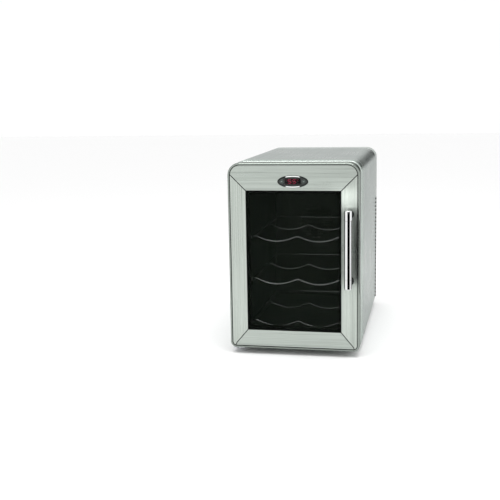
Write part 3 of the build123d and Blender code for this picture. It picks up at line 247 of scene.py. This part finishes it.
def vent_shadow(look, base):
    """Darkens the walls inside the rear cover's louvres and grille slots."""
    side, rear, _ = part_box("rear_cover")[1]
    x, y, z = look.position()
    x = look.maths("ABSOLUTE", x)
    past_end = 4.0
    low_z = (LOUVRE_FIRST_Z - past_end) * MM
    high_z = (LOUVRE_FIRST_Z + (LOUVRE_COUNT - 1) * LOUVRE_PITCH + past_end) * MM
    low_y, high_y = (LOUVRE_Y[0] - 2.0) * MM, (LOUVRE_Y[1] + 2.0) * MM
    louvres = inside(look, (x, side - 7.0 * MM, side - 0.1 * MM), (y, low_y, high_y), (z, low_z, high_z))
    reach_x, reach_z = 60.0, 55.0
    in_wall = (y, rear - 3.2 * MM, rear - 0.6 * MM)
    upright = (z, (STACK_Z - reach_z) * MM, (STACK_Z + reach_z) * MM)
    grille = inside(look, (x, -reach_x * MM, reach_x * MM), in_wall, upright)
    return look.blend(look.maths("MAXIMUM", louvres, grille), base, (0.015, 0.017, 0.016))


def bezel_ring(name, silver, dark):
    """Oval bezel: a bright arc over and under the display, dark wings, and a dark outer rim painted as the
    shade in the groove round the bezel.
    """
    low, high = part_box("control_bezel")
    middle_z = (low[2] + high[2]) / 2
    half_x, half_z = high[0], (high[2] - low[2]) / 2
    look = Shader(name, silver, metallic=0.6, roughness=0.2)
    x, _, z = look.position()
    wing = look.remap(look.maths("ABSOLUTE", x), 12.6 * MM, 14.0 * MM, 0, 1)
    across = look.maths("POWER", look.maths("DIVIDE", x, half_x), 2.0)
    height = look.maths("SUBTRACT", z, middle_z)
    upright = look.maths("POWER", look.maths("ABSOLUTE", look.maths("DIVIDE", height, half_z)), 2.0)
    # Painted shade: a thin dark band round the outer edge stands for the shade in the groove round the
    # bezel.
    groove_shade = look.remap(look.maths("ADD", across, upright), 0.87, 0.91, 0, 1)
    swirl = look.noise((400, 400, 400), detail=3.0)
    shine = look.ramp(swirl, [(0.3, shaded(silver, 0.9)), (0.7, silver)])
    look.colour(look.blend(look.maths("MAXIMUM", wing, groove_shade), shine, dark))
    look.rough(look.remap(swirl, 0.3, 0.75, 0.14, 0.26))
    look.bump(look.noise((900, 900, 900), detail=1.0, offset=4.0), 0.006 * MM, 0.4)
    return look.mat


def polished(name, colour, roughness):
    """Plated or polished metal: mirror-like, with faint smears and polishing swirls."""
    look = Shader(name, colour, metallic=1.0, roughness=roughness)
    smear = look.noise((45, 45, 18), detail=4.0, roughness=0.65)
    look.colour(look.ramp(smear, [(0.3, shaded(colour, 0.93)), (0.7, colour)]))
    look.rough(look.remap(smear, 0.35, 0.75, roughness, roughness + 0.05))
    look.bump(look.noise((300, 300, 60), detail=2.0, offset=4.0), 0.02 * MM, 0.12)
    return look.mat


def zinc(name):
    """Galvanised sheet: large crystal flakes under a dull film."""
    colour, roughness = (0.62, 0.64, 0.66), 0.38
    look = Shader(name, colour, metallic=1.0, roughness=roughness)
    flakes = look.node("ShaderNodeTexVoronoi", feature="F1")
    flakes.inputs["Scale"].default_value = 1.0
    flakes.inputs["Randomness"].default_value = 1.0
    look.link(look.space((130, 130, 130)), flakes.inputs["Vector"])
    flake = look.node("ShaderNodeSeparateColor")
    look.link(flakes.outputs["Color"], flake.inputs["Color"])
    stops = [(0.0, shaded(colour, 0.8)), (0.5, colour), (1.0, shaded(colour, 1.12))]
    look.colour(look.ramp(flake.outputs["Red"], stops))
    look.rough(look.remap(flake.outputs["Green"], 0.0, 1.0, roughness - 0.1, roughness + 0.14))
    look.bump(look.noise((700, 700, 700), detail=2.0), 0.02 * MM, 0.5)
    return look.mat


def rubber(name, colour=(0.018, 0.018, 0.019)):
    """Matt rubber with a dusty bloom and a fine grain."""
    look = Shader(name, colour, roughness=0.72)
    cloud = look.noise((60, 60, 60), detail=4.0)
    look.colour(look.ramp(cloud, [(0.35, colour), (0.8, shaded(colour, 1.9, 0.006))]))
    look.rough(look.remap(cloud, 0.3, 0.8, 0.6, 0.85))
    look.bump(look.noise((1800, 1800, 1800), detail=2.0, offset=3.0), 0.03 * MM, 0.6)
    return look.mat


def foam(name):
    """Poured foam with small open cells."""
    look = Shader(name, (0.83, 0.80, 0.66), roughness=0.9)
    cells = look.node("ShaderNodeTexVoronoi", feature="DISTANCE_TO_EDGE")
    cells.inputs["Scale"].default_value = 1.0
    look.link(look.space((900, 900, 900)), cells.inputs["Vector"])
    stops = [(0.0, (0.68, 0.64, 0.48)), (0.3, (0.86, 0.83, 0.70))]
    look.colour(look.ramp(cells.outputs["Distance"], stops))
    look.bump(cells.outputs["Distance"], 0.2 * MM, 0.6)
    return look.mat


def smoked_glass(name, tint, alpha, ior=1.3, specular=0.25):
    """Tinted pane. Light passes by alpha, so the shelves behind stay readable."""
    roughness = 0.03
    look = Shader(name, tint, roughness=roughness, Specular_IOR_Level=specular)
    look.put("Alpha", alpha)
    look.put("IOR", ior)
    smudge = look.noise((18, 18, 9), detail=5.0, roughness=0.7, distortion=0.4)
    look.colour(look.ramp(smudge, [(0.35, tint), (0.85, shaded(tint, 1.8, 0.003))]))
    look.rough(look.remap(smudge, 0.35, 0.8, roughness, roughness + 0.07))
    look.bump(look.noise((5, 5, 5), detail=1.0, offset=9.0), 0.04 * MM, 0.2)
    return look.mat


def circuit(name, colour=(0.02, 0.15, 0.06)):
    """Circuit board: solder mask with copper tracks showing through."""
    look = Shader(name, colour, roughness=0.32)
    grid = look.node("ShaderNodeTexBrick", offset=0.35, squash=1.4)
    sizes = {"Scale": 1.0, "Mortar Size": 0.08, "Brick Width": 3.1, "Row Height": 1.0}
    for socket, value in sizes.items():
        grid.inputs[socket].default_value = value
    look.link(look.space((330, 330, 330), turn=(math.radians(90), 0, 0)), grid.inputs["Vector"])
    look.colour(look.blend(grid.outputs["Fac"], colour, shaded(colour, 2.4, 0.01)))
    look.bump(grid.outputs["Fac"], 0.04 * MM, 0.5)
    return look.mat


def glow(name, colour, strength):
    """Lit display segment, a little uneven."""
    look = Shader(name, colour, roughness=0.3, Emission_Strength=strength)
    look.put("Emission Color", (*colour, 1.0))
    speck = look.noise((900, 900, 900), detail=1.0)
    look.colour(look.ramp(speck, [(0.3, shaded(colour, 0.7)), (0.7, colour)]))
    return look.mat


MATERIALS = {
    "steel_x": brushed("brushed_across", 0, (0.43, 0.47, 0.435), contrast=1.5),
    "steel_z": brushed("brushed_upright", 2, (0.46, 0.50, 0.462), roughness=0.26, contrast=1.5),
    "steel_y": brushed("brushed_lengthways", 1, (0.53, 0.57, 0.55), depth=0.8, spin="Y"),
    "silver": moulded("silver_moulding", (0.26, 0.29, 0.265), 0.2, 0.012, metallic=0.9, spread=0.05),
    "ring_silver": moulded("ring_silver", (0.50, 0.55, 0.52), 0.24, 0.012, metallic=0.9, spread=0.05),
    "black": moulded("black_moulding", (0.014, 0.016, 0.015), 0.42, 0.05),
    "liner": moulded("liner_black", (0.007, 0.010, 0.007), 0.4, 0.04),
    "grey": moulded("grey_moulding", (0.33, 0.36, 0.34), 0.46, 0.06, spread=0.06, shade=vent_shadow),
    "fascia": moulded("fascia_grey", (0.008, 0.012, 0.010), 0.36, 0.02),
    "button": moulded("button_grey", (0.03, 0.042, 0.037), 0.36, 0.02),
    "white_plastic": moulded("bearing_white", (0.78, 0.78, 0.75), 0.4, 0.03, spread=0.04),
    "chrome": polished("chrome", (0.72, 0.73, 0.73), roughness=0.03),
    "shelf_chrome": polished("shelf_chrome", (0.80, 0.82, 0.81), roughness=0.12),
    "dark_metal": polished("dark_metal", (0.035, 0.04, 0.038), roughness=0.24),
    "bezel": bezel_ring("bezel_two_tone_groove_shade", (0.86, 0.89, 0.87), (0.010, 0.015, 0.013)),
    "zinc": zinc("zinc_steel"),
    "aluminium": brushed("aluminium", 2, (0.74, 0.75, 0.76), roughness=0.36, depth=0.6),
    "spacer": moulded("spacer_black", (0.003, 0.0035, 0.0035), 0.6, 0.02, Specular_IOR_Level=0.12),
    "rubber": rubber("black_rubber"),
    "magnet": rubber("magnet", (0.06, 0.05, 0.05)),
    "foam": foam("white_foam"),
    "glass": smoked_glass("smoked_glass", (0.003, 0.005, 0.003), 0.40, specular=0.12),
    "inner_glass": smoked_glass("clear_glass", (0.010, 0.018, 0.013), 0.05, ior=1.2, specular=0.1),
    "display": smoked_glass("display_black", (0.004, 0.002, 0.002), 0.35, ior=1.35),
    "lens": moulded("frosted_lens", (0.80, 0.83, 0.85), 0.3, 0.03, spread=0.03),
    "board": circuit("circuit_board"),
    "black_board": circuit("black_solder_mask", (0.006, 0.006, 0.007)),
    "black_fins": brushed("black_anodised", 2, (0.03, 0.033, 0.032), roughness=0.42, depth=0.6),
    "black_screw": polished("blackened_screw", (0.03, 0.03, 0.032), roughness=0.3),
    "ceramic": moulded("white_ceramic", (0.84, 0.84, 0.81), 0.6, 0.04, spread=0.03),
    "parts": moulded("component_black", (0.03, 0.03, 0.034), 0.35, 0.03),
    "brass": polished("contact_metal", (0.80, 0.66, 0.38), roughness=0.22),
    "sleeve": moulded("wire_sleeve", (0.42, 0.03, 0.025), 0.35, 0.01),
    "digits": glow("digit_red", (0.80, 0.03, 0.12), 0.3),
    "digits_off": moulded("digit_unlit", (0.03, 0.012, 0.013), 0.4, 0.01),
    "mark": moulded("button_mark", (0.20, 0.24, 0.22), 0.45, 0.01),
}

# Which CAD nodes wear each material.
FINISHES = {
    "steel_x": "trim_panel_top trim_panel_bottom",
    "steel_z": "trim_panel_left trim_panel_right",
    "steel_y": "outer_wrap",
    "silver": "door_rim",
    "ring_silver": "front_ring",
    "grey": "rear_cover",
    "black": "door_inner_frame cold_fan_frame cold_fan_rotor hot_fan_frame hot_fan_rotor power_inlet",
    "liner": "inner_liner inner_fan_cover sensor_cover",
    "fascia": "control_fascia hinge_blocks",
    "button": "button_left button_right",
    "white_plastic": "hinge_bushes",
    "chrome": "handle_tube handle_end_caps",
    "shelf_chrome": "shelf_top shelf_middle shelf_bottom",
    "bezel": "control_bezel",
    "dark_metal": "handle_posts handle_collars",
    "zinc": "base_pan rear_plate hinge_bracket_bottom hinge_bracket_top strike_strips hinge_pins "
    "cabinet_screws cooling_screws handle_screws",
    "aluminium": "cold_block hot_sink",
    "black_fins": "cold_sink",
    "spacer": "glass_spacer door_core",
    "rubber": "feet door_gasket",
    "magnet": "gasket_magnets",
    "foam": "insulation_foam door_foam",
    "glass": "outer_glass",
    "inner_glass": "inner_glass",
    "display": "display_window",
    "lens": "lamp_lens",
    "board": "power_board lamp_board",
    "black_board": "control_board",
    "ceramic": "peltier_module",
    "parts": "power_components",
    "brass": "inlet_pins",
    "sleeve": "wiring",
}
for key, names in FINISHES.items():
    for name in names.split():
        mesh = NODES[name].data
        mesh.materials.clear()
        mesh.materials.append(MATERIALS[key])


def soften(name, width):
    """Rounds a CAD node's sharp edges with modifiers; its own mesh stays as it is."""
    obj = NODES[name]
    weld = obj.modifiers.new("weld", "WELD")
    weld.merge_threshold = 0.002 * MM
    bevel = obj.modifiers.new("edge_rounding", "BEVEL")
    bevel.width = width * MM
    bevel.segments = 2
    bevel.limit_method = "ANGLE"
    bevel.angle_limit = math.radians(35)
    bevel.harden_normals = True


for name in FINISHES["steel_x"].split() + FINISHES["steel_z"].split():
    soften(name, 0.3)
soften("rear_cover", 0.35)
soften("inner_fan_cover", 0.3)
soften("power_inlet", 0.3)


# ---------------------------------------------------------------- mesh helpers
def add_piece(name, verts, faces, material, body, slot_name, smooth=True, stands_for=()):
    """Mesh piece in millimetres of the CAD's frame, riding on one body."""
    mesh = bpy.data.meshes.new(name)
    mesh.from_pydata([(x * MM, y * MM, z * MM) for x, y, z in verts], [], faces)
    draft = bmesh.new()
    draft.from_mesh(mesh)
    bmesh.ops.remove_doubles(draft, verts=draft.verts, dist=1e-6)
    bmesh.ops.recalc_face_normals(draft, faces=draft.faces)
    draft.to_mesh(mesh)
    draft.free()
    mesh.materials.append(MATERIALS[material])
    obj = bpy.data.objects.new(name, mesh)
    bpy.context.scene.collection.objects.link(obj)
    if smooth:
        mesh.shade_smooth()
        mesh.set_sharp_from_angle(angle=math.radians(38))
    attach(obj, body)
    if stands_for:
        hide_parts(*stands_for)


def lathe(profile, segments, ripple=None):
    """Turned solid about Z from a closed run of (radius, z) points."""
    verts, faces = [], []
    rows = len(profile)
    for step in range(segments):
        angle = 2 * math.pi * step / segments
        for radius, z in profile:
            if ripple:
                radius = ripple(radius, z, step)
            verts.append((radius * math.cos(angle), radius * math.sin(angle), z))
    for step in range(segments):
        here, after = step * rows, (step + 1) % segments * rows
        for row in range(rows - 1):
            faces.append((here + row, after + row, after + row + 1, here + row + 1))
    return verts, faces


def recessed_head(radius, height, shank_radius, length):
    """Pan-head screw along -Z with its seat at z = 0 and a cross recess cut in the head."""
    segments = 32
    arm, reach, depth = radius * 0.14, radius * 0.58, height * 0.6
    draft = bmesh.new()
    cross = []
    for quarter in range(4):
        cos, sin = math.cos(math.pi / 2 * quarter), math.sin(math.pi / 2 * quarter)
        for x, y in ((reach, -arm), (reach, arm), (arm * 1.3, arm * 1.3)):
            cross.append((x * cos - y * sin, x * sin + y * cos))
    top = [draft.verts.new((x, y, height)) for x, y in cross]
    floor = [draft.verts.new((x * 0.7, y * 0.7, height - depth)) for x, y in cross]
    count = len(cross)
    for i in range(count):
        j = (i + 1) % count
        draft.faces.new((top[i], top[j], floor[j], floor[i]))
    draft.faces.new(floor)
    rings = []
    rounding = min(height * 0.55, radius * 0.3)
    profile = [(radius - rounding, height), (radius - rounding * 0.3, height - rounding * 0.3)]
    profile += [(radius, height - rounding), (radius, 0), (shank_radius, 0), (shank_radius, -length)]
    for ring_radius, z in profile:
        ring = []
        for i in range(segments):
            angle = 2 * math.pi * i / segments
            ring.append(draft.verts.new((ring_radius * math.cos(angle), ring_radius * math.sin(angle), z)))
        rings.append(ring)
    for first, second in zip(rings, rings[1:]):
        for i in range(segments):
            j = (i + 1) % segments
            draft.faces.new((first[i], first[j], second[j], second[i]))
    draft.faces.new(rings[-1])
    edges = [draft.edges.get((top[i], top[(i + 1) % count])) for i in range(count)]
    edges += [draft.edges.get((rings[0][i], rings[0][(i + 1) % segments])) for i in range(segments)]
    bmesh.ops.triangle_fill(draft, use_beauty=True, edges=edges)
    draft.verts.index_update()
    verts = [tuple(v.co) for v in draft.verts]
    faces = [tuple(v.index for v in f.verts) for f in draft.faces]
    draft.free()
    return verts, faces


# Turns that send a mesh's own +Z to the named direction.
AIMS = {
    "+Z": Matrix.Identity(3),
    "-Z": Matrix.Rotation(math.pi, 3, "X"),
    "+Y": Matrix.Rotation(-math.pi / 2, 3, "X"),
    "-Y": Matrix.Rotation(math.pi / 2, 3, "X"),
}


def placed(parts):
    """Join copies of (verts, faces) meshes, each turned to an aim and moved to a place."""
    all_verts, all_faces = [], []
    for (verts, faces), aim, place in parts:
        start = len(all_verts)
        turn = AIMS[aim]
        all_verts += [tuple(turn @ Vector(v) + Vector(place)) for v in verts]
        all_faces += [tuple(start + i for i in face) for face in faces]
    return all_verts, all_faces


def corners(half_x, y, half_z):
    """Four places round the cooling stack's axis, at one depth."""
    return [(side * half_x, y, STACK_Z + end * half_z) for side in (-1, 1) for end in (-1, 1)]


# ---------------------------------------------------------------- screws and feet
# Head radius, head height, shank radius, shank length.
SCREWS = {
    "foot": (4.0, 2.0, 2.0, 9.0),
    "cover": (4.0, 2.0, 2.0, 11.9),
    "lower_hinge": (3.2, 2.0, 1.7, 5.5),
    "upper_hinge": (2.8, 1.3, 1.7, 5.2),
    "inner_fan": (3.2, 1.6, 1.7, 25.0),
    "clamp": (3.6, 3.0, 2.0, 31.0),
    "outer_fan": (3.2, 2.0, 1.7, 30.0),
}
# Kind, the way its head faces, where its head sits.
CABINET_SCREWS = [
    ("foot", "-Z", [(x, y, 4.0) for x, y in FEET_AT]),
    ("cover", "+Y", [(x, 189.9, z) for x in (-104.0, 104.0) for z in (134.0, 346.0)]),
    ("lower_hinge", "-Z", [(-114.0, y, 7.5) for y in (-168.0, -150.0)]),
    ("upper_hinge", "-Y", [(x, -180.0, 364.0) for x in (-107.0, -99.5)]),
]
COOLING_SCREWS = [
    ("inner_fan", "-Y", corners(57.0, 121.0, 67.0)),
    ("clamp", "+Y", corners(30.0, 193.0, 30.0)),
    ("outer_fan", "+Y", corners(41.25, 243.2, 41.25)),
]


def add_screws(name, rows, material, replaced):
    parts = []
    for kind, aim, places in rows:
        screw = recessed_head(*SCREWS[kind])
        parts += [(screw, aim, place) for place in places]
    add_piece(name, *placed(parts), material, "cabinet", "zinc_steel", stands_for=[replaced])


def add_feet():
    """Rubber feet: two grooves round the side, fine ribs, and a recess for the screw."""
    profile = [(2.1, 10.0), (2.1, 4.0), (4.2, 4.0), (4.2, 0.7), (4.9, 0.0), (8.9, 0.0), (9.8, 0.4)]
    profile += [(10.2, 1.4), (10.3, 2.6), (9.7, 2.9), (9.7, 3.5), (10.4, 3.8), (10.5, 5.2), (9.9, 5.5)]
    profile += [(9.9, 6.1), (10.7, 6.4), (11.0, 7.4), (11.0, 9.5), (10.6, 10.0), (2.1, 10.0)]
    rib_depth, outside, rib_z = 0.22, 10.1, (1.0, 9.0)

    def ribbed(radius, z, step):
        on_side = radius > outside and rib_z[0] < z < rib_z[1]
        return radius - (rib_depth if step % 2 and on_side else 0.0)

    foot = lathe(profile, segments=72, ripple=ribbed)
    parts = [(foot, "+Z", (x, y, 0.0)) for x, y in FEET_AT]
    add_piece("rubber_feet", *placed(parts), "rubber", "cabinet", "black_rubber", stands_for=["feet"])


# ---------------------------------------------------------------- door gasket
def rounded_ring(half_x, low, high, radius, y):
    """Points round an upright rectangle with rounded corners, at one depth."""
    steps = 5
    points = []
    for side_x, side_z, start in ((1, 1, 0), (-1, 1, 90), (-1, -1, 180), (1, -1, 270)):
        centre_x = side_x * (half_x - radius)
        centre_z = high - radius if side_z > 0 else low + radius
        for step in range(steps + 1):
            angle = math.radians(start + 90 * step / steps)
            points.append((centre_x + radius * math.cos(angle), y, centre_z + radius * math.sin(angle)))
    return points


def add_gasket():
    """Door seal swept round the door: anchored foot, bellows fold on both sides, magnet tube."""
    half, low, high = 114.0, 25.0, 353.0
    width, corner, tightest = 11.0, 6.0, 1.2
    side = [(0.4, -187.6), (0.4, -184.6), (1.5, -183.8), (0.8, -183.2), (0.7, -182.7), (1.9, -182.1)]
    side += [(2.0, -181.1), (2.5, -180.55), (3.4, -180.4)]
    profile = side + [(width - inset, y) for inset, y in reversed(side)]
    verts, faces = [], []
    for inset, y in profile:
        radius = max(tightest, corner - inset)
        verts += rounded_ring(half - inset, low + inset, high - inset, radius, y)
    rows = len(profile)
    count = len(verts) // rows
    for row in range(rows):
        after = (row + 1) % rows
        for i in range(count):
            j = (i + 1) % count
            faces.append((row * count + i, row * count + j, after * count + j, after * count + i))
    add_piece("bellows_gasket", verts, faces, "rubber", "door", "black_rubber", stands_for=["door_gasket"])


# ---------------------------------------------------------------- display and buttons
def plate(points, front, back):
    """Thin plate in X and Z from one closed outline, between two Y depths."""
    count = len(points)
    verts = [(x, front, z) for x, z in points] + [(x, back, z) for x, z in points]
    faces = [tuple(range(count)), tuple(range(2 * count - 1, count - 1, -1))]
    faces += [(i, (i + 1) % count, count + (i + 1) % count, count + i) for i in range(count)]
    return verts, faces


DISPLAY_Z = 340.1
DISPLAY_DEPTHS = (-218.35, -218.1)
FIGURES_X = (-6.4, 2.6)
FIGURE_SIZE = (7.4, 9.0)
STROKE = 1.5
LIT_SEGMENTS = "acdfg"
LEAN = 0.09
BUTTON_X = 21.0
BUTTON_MARK_DEPTHS = (-221.3, -221.15)


def segment_outline(key, centre_x):
    """One pointed bar of a leaning seven-segment figure."""
    inner_x, inner_z = ((size - STROKE) / 2 for size in FIGURE_SIZE)
    middle = {
        "a": (0, inner_z), "g": (0, 0), "d": (0, -inner_z),
        "f": (-inner_x, inner_z / 2), "b": (inner_x, inner_z / 2),
        "e": (-inner_x, -inner_z / 2), "c": (inner_x, -inner_z / 2),
    }[key]
    flat = key in "agd"
    gap, edge = 0.25, STROKE / 2
    half = (inner_x if flat else inner_z / 2) - gap
    shape = [(-half, 0), (-half + edge, edge), (half - edge, edge)]
    shape += [(half, 0), (half - edge, -edge), (-half + edge, -edge)]
    if not flat:
        shape = [(z, x) for x, z in shape]
    points = []
    for x, z in shape:
        z += middle[1]
        points.append((centre_x + middle[0] + x + LEAN * z, DISPLAY_Z + z))
    return points


def degree_ring():
    """Outlines of the short pieces that make the ring after the figures."""
    centre_x, centre_z, steps = 9.2, DISPLAY_Z + 2.9, 20
    outlines = []
    for step in range(steps):
        first, second = (2 * math.pi * k / steps for k in (step, step + 1))
        outline = []
        for radius, angle in ((1.35, first), (1.35, second), (0.85, second), (0.85, first)):
            outline.append((centre_x + radius * math.cos(angle), centre_z + radius * math.sin(angle)))
        outlines.append(outline)
    return outlines


def add_display():
    """Two seven-segment figures and a degree ring; the unlit segments stay faintly visible."""
    lit, unlit = [], []
    for centre_x in FIGURES_X:
        for key in "abcdefg":
            target = lit if key in LIT_SEGMENTS else unlit
            target.append(segment_outline(key, centre_x))
    lit += degree_ring()
    rows = [
        ("display_figures", lit, "digits", "wire_sleeve"),
        ("display_unlit", unlit, "digits_off", "black_moulding"),
    ]
    for name, outlines, material, slot_name in rows:
        parts = [(plate(outline, *DISPLAY_DEPTHS), "+Z", (0, 0, 0)) for outline in outlines]
        add_piece(name, *placed(parts), material, "door", slot_name, smooth=False)


def add_button_marks():
    """Raised up and down marks, one on each button."""
    chevron = [(-1.7, -0.9), (0, 1.1), (1.7, -0.9), (1.2, -1.35), (0, 0.1), (-1.2, -1.35)]
    for side, centre_x, up in (("left", -BUTTON_X, 1), ("right", BUTTON_X, -1)):
        points = [(centre_x + x, DISPLAY_Z + up * z) for x, z in chevron]
        verts, faces = plate(points[::up], *BUTTON_MARK_DEPTHS)
        name, body = f"{side}_button_mark", f"{side}_button"
        add_piece(name, verts, faces, "mark", body, "button_grey", smooth=False)


# ---------------------------------------------------------------- handle and louvres
def add_handle_seams():
    """Dark gasket rings in the seams between the handle's tube and its end caps."""
    low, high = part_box("handle_tube")
    x, y = ((low[i] + high[i]) / 2 / MM for i in range(2))
    bore, outside, edge, thickness = 5.4, 6.95, 0.1, 0.4
    seams_z = (159.1, 270.0)
    profile = [(bore, 0.0), (outside - edge, 0.0), (outside, edge), (outside, thickness - edge)]
    profile += [(outside - edge, thickness), (bore, thickness), (bore, 0.0)]
    ring = lathe(profile, segments=48)
    parts = [(ring, "+Z", (x, y, z)) for z in seams_z]
    add_piece("handle_seam_rings", *placed(parts), "rubber", "door", "black_rubber")


def add_louvre_shade_lips():
    """Pressed lips that stand 2.2 mm proud in front of the rear cover's side louvres, black as painted
    shade for the louvre openings.
    """
    half_z = LOUVRE_HALF_HEIGHT
    inner_x, outer_x = 126.9, 129.2
    front_y, back_y = LOUVRE_Y[0] - 0.8, LOUVRE_Y[0] + 0.1
    faces = [(3, 2, 1, 0), (4, 5, 6, 7), (0, 1, 5, 4), (1, 2, 6, 5), (2, 3, 7, 6), (3, 0, 4, 7)]
    parts = []
    for side in (-1, 1):
        outline = [(inner_x, front_y), (outer_x, front_y), (outer_x, back_y), (inner_x, back_y)]
        verts = [(side * x, y, z) for z in (-half_z, half_z) for x, y in outline]
        for step in range(LOUVRE_COUNT):
            parts.append(((verts, faces), "+Z", (0, 0, LOUVRE_FIRST_Z + step * LOUVRE_PITCH)))
    # Painted shade: the lips wear black to stand for the dark shade in the louvre openings.
    add_piece("louvre_shade_lips", *placed(parts), "spacer", "cabinet", "black_moulding", smooth=False)


add_screws("cabinet_screw_set", CABINET_SCREWS, "zinc", "cabinet_screws")
add_screws("cooling_screw_set", COOLING_SCREWS, "black_screw", "cooling_screws")
add_feet()
add_louvre_shade_lips()
add_handle_seams()
add_gasket()
add_display()
add_button_marks()


# ---------------------------------------------------------------- camera
CAMERA_AT = (0.26295, -1.87435, 0.50473)
CAMERA_YAW, CAMERA_PITCH, CAMERA_ROLL = -0.207, 0.174, -0.018
LENS_MM, SENSOR_MM = 64.06, 36.0


def aim_camera():
    """The photograph's viewpoint: in front, to the right and above. The angles are in radians."""
    level = math.cos(CAMERA_PITCH)
    forward = Vector((math.sin(CAMERA_YAW) * level, math.cos(CAMERA_YAW) * level, -math.sin(CAMERA_PITCH)))
    right = forward.cross(Vector((0, 0, 1))).normalized()
    up = right.cross(forward)
    cos, sin = math.cos(CAMERA_ROLL), math.sin(CAMERA_ROLL)
    right, up = right * cos + up * sin, up * cos - right * sin
    data = bpy.data.cameras.new("camera")
    data.lens = LENS_MM
    data.sensor_width = SENSOR_MM
    data.clip_end = 50.0
    camera = bpy.data.objects.new("camera", data)
    turn = Matrix((right, up, -forward)).transposed().to_4x4()
    camera.matrix_world = Matrix.Translation(CAMERA_AT) @ turn
    bpy.context.scene.collection.objects.link(camera)
    bpy.context.scene.camera = camera


aim_camera()


# ---------------------------------------------------------------- studio
def add_floor():
    """Plain pale floor."""
    half = 9.0
    mesh = bpy.data.meshes.new("floor")
    verts = [(-half, -half, 0), (half, -half, 0), (half, half, 0), (-half, half, 0)]
    mesh.from_pydata(verts, [], [(0, 1, 2, 3)])
    floor = bpy.data.objects.new("floor", mesh)
    bpy.context.scene.collection.objects.link(floor)
    look = Shader("floor_paper", (0.93, 0.93, 0.93), roughness=0.8)
    speck = look.noise((160, 160, 160), detail=2.0)
    look.colour(look.ramp(speck, [(0.3, (0.92, 0.92, 0.92)), (0.7, (0.94, 0.94, 0.94))]))
    mesh.materials.append(look.mat)


def add_world():
    """Even white surroundings, a touch brighter overhead."""
    world = bpy.data.worlds.new("studio")
    bpy.context.scene.world = world
    world.use_nodes = True
    tree = world.node_tree
    background = tree.nodes["Background"]
    coords = tree.nodes.new("ShaderNodeTexCoord")
    split = tree.nodes.new("ShaderNodeSeparateXYZ")
    tree.links.new(coords.outputs["Generated"], split.inputs["Vector"])
    ramp = tree.nodes.new("ShaderNodeValToRGB")
    for element, grey in zip(ramp.color_ramp.elements, (0.96, 1.0)):
        element.color = (grey, grey, grey, 1)
    tree.links.new(split.outputs["Z"], ramp.inputs["Fac"])
    tree.links.new(ramp.outputs["Color"], background.inputs["Color"])
    background.inputs["Strength"].default_value = 1.05


def add_card(name, centre, radius, angles, heights, strength):
    """Upright curved card that only shiny surfaces see: black at strength 0, otherwise lit.

    The angles are in degrees from -Y towards +X."""
    steps = 16
    verts = []
    for step in range(steps + 1):
        angle = math.radians(angles[0] + (angles[1] - angles[0]) * step / steps)
        x = centre[0] + radius * math.sin(angle)
        y = centre[1] - radius * math.cos(angle)
        verts += [(x, y, z) for z in heights]
    faces = [(2 * i, 2 * i + 2, 2 * i + 3, 2 * i + 1) for i in range(steps)]
    mesh = bpy.data.meshes.new(name)
    mesh.from_pydata(verts, [], faces)
    card = bpy.data.objects.new(name, mesh)
    bpy.context.scene.collection.objects.link(card)
    look = Shader(name, (0.0, 0.0, 0.0), roughness=1.0, Specular_IOR_Level=0.0)
    if strength:
        look.put("Emission Color", (1, 1, 1, 1))
        look.put("Emission Strength", strength)
    mesh.materials.append(look.mat)
    card.visible_camera = False
    card.visible_shadow = False
    card.visible_diffuse = False
    card.visible_transmission = False


def add_softbox(name, place, target, size, power):
    data = bpy.data.lights.new(name, "AREA")
    data.shape = "RECTANGLE"
    data.size, data.size_y = size
    data.energy = power
    light = bpy.data.objects.new(name, data)
    light.location = place
    light.rotation_mode = "QUATERNION"
    light.rotation_quaternion = (Vector(target) - Vector(place)).to_track_quat("-Z", "Y")
    bpy.context.scene.collection.objects.link(light)


add_floor()
add_world()
add_softbox("top_softbox", (0.1, -0.5, 1.7), (0, -0.1, 0.2), (1.3, 0.9), 16)
# Black flags give the chrome handle its dark stripes and the wrap's rounded corner its dark band.
# Lit cards brighten the handle's sides and the right door panel above the handle.
HANDLE_AT = (0.107, -0.247)
PANEL_AT = (0.1, -0.235)
add_card("front_flag", HANDLE_AT, 0.11, (-15, 60), (0.118, 0.274), 0.0)
add_card("right_flag", HANDLE_AT, 0.055, (98, 132), (0.12, 0.264), 0.0)
add_card("back_flag", HANDLE_AT, 2.0, (164, 177), (0.34, 0.9), 0.0)
add_card("left_card", HANDLE_AT, 0.9, (-73, -13), (0.001, 1.0), 1.3)
add_card("right_card", HANDLE_AT, 0.9, (58, 104), (0.001, 1.0), 1.4)
add_card("stile_card", PANEL_AT, 0.11, (-14, 7), (0.276, 0.314), 2.6)
bpy.context.scene.view_settings.view_transform = "Standard"
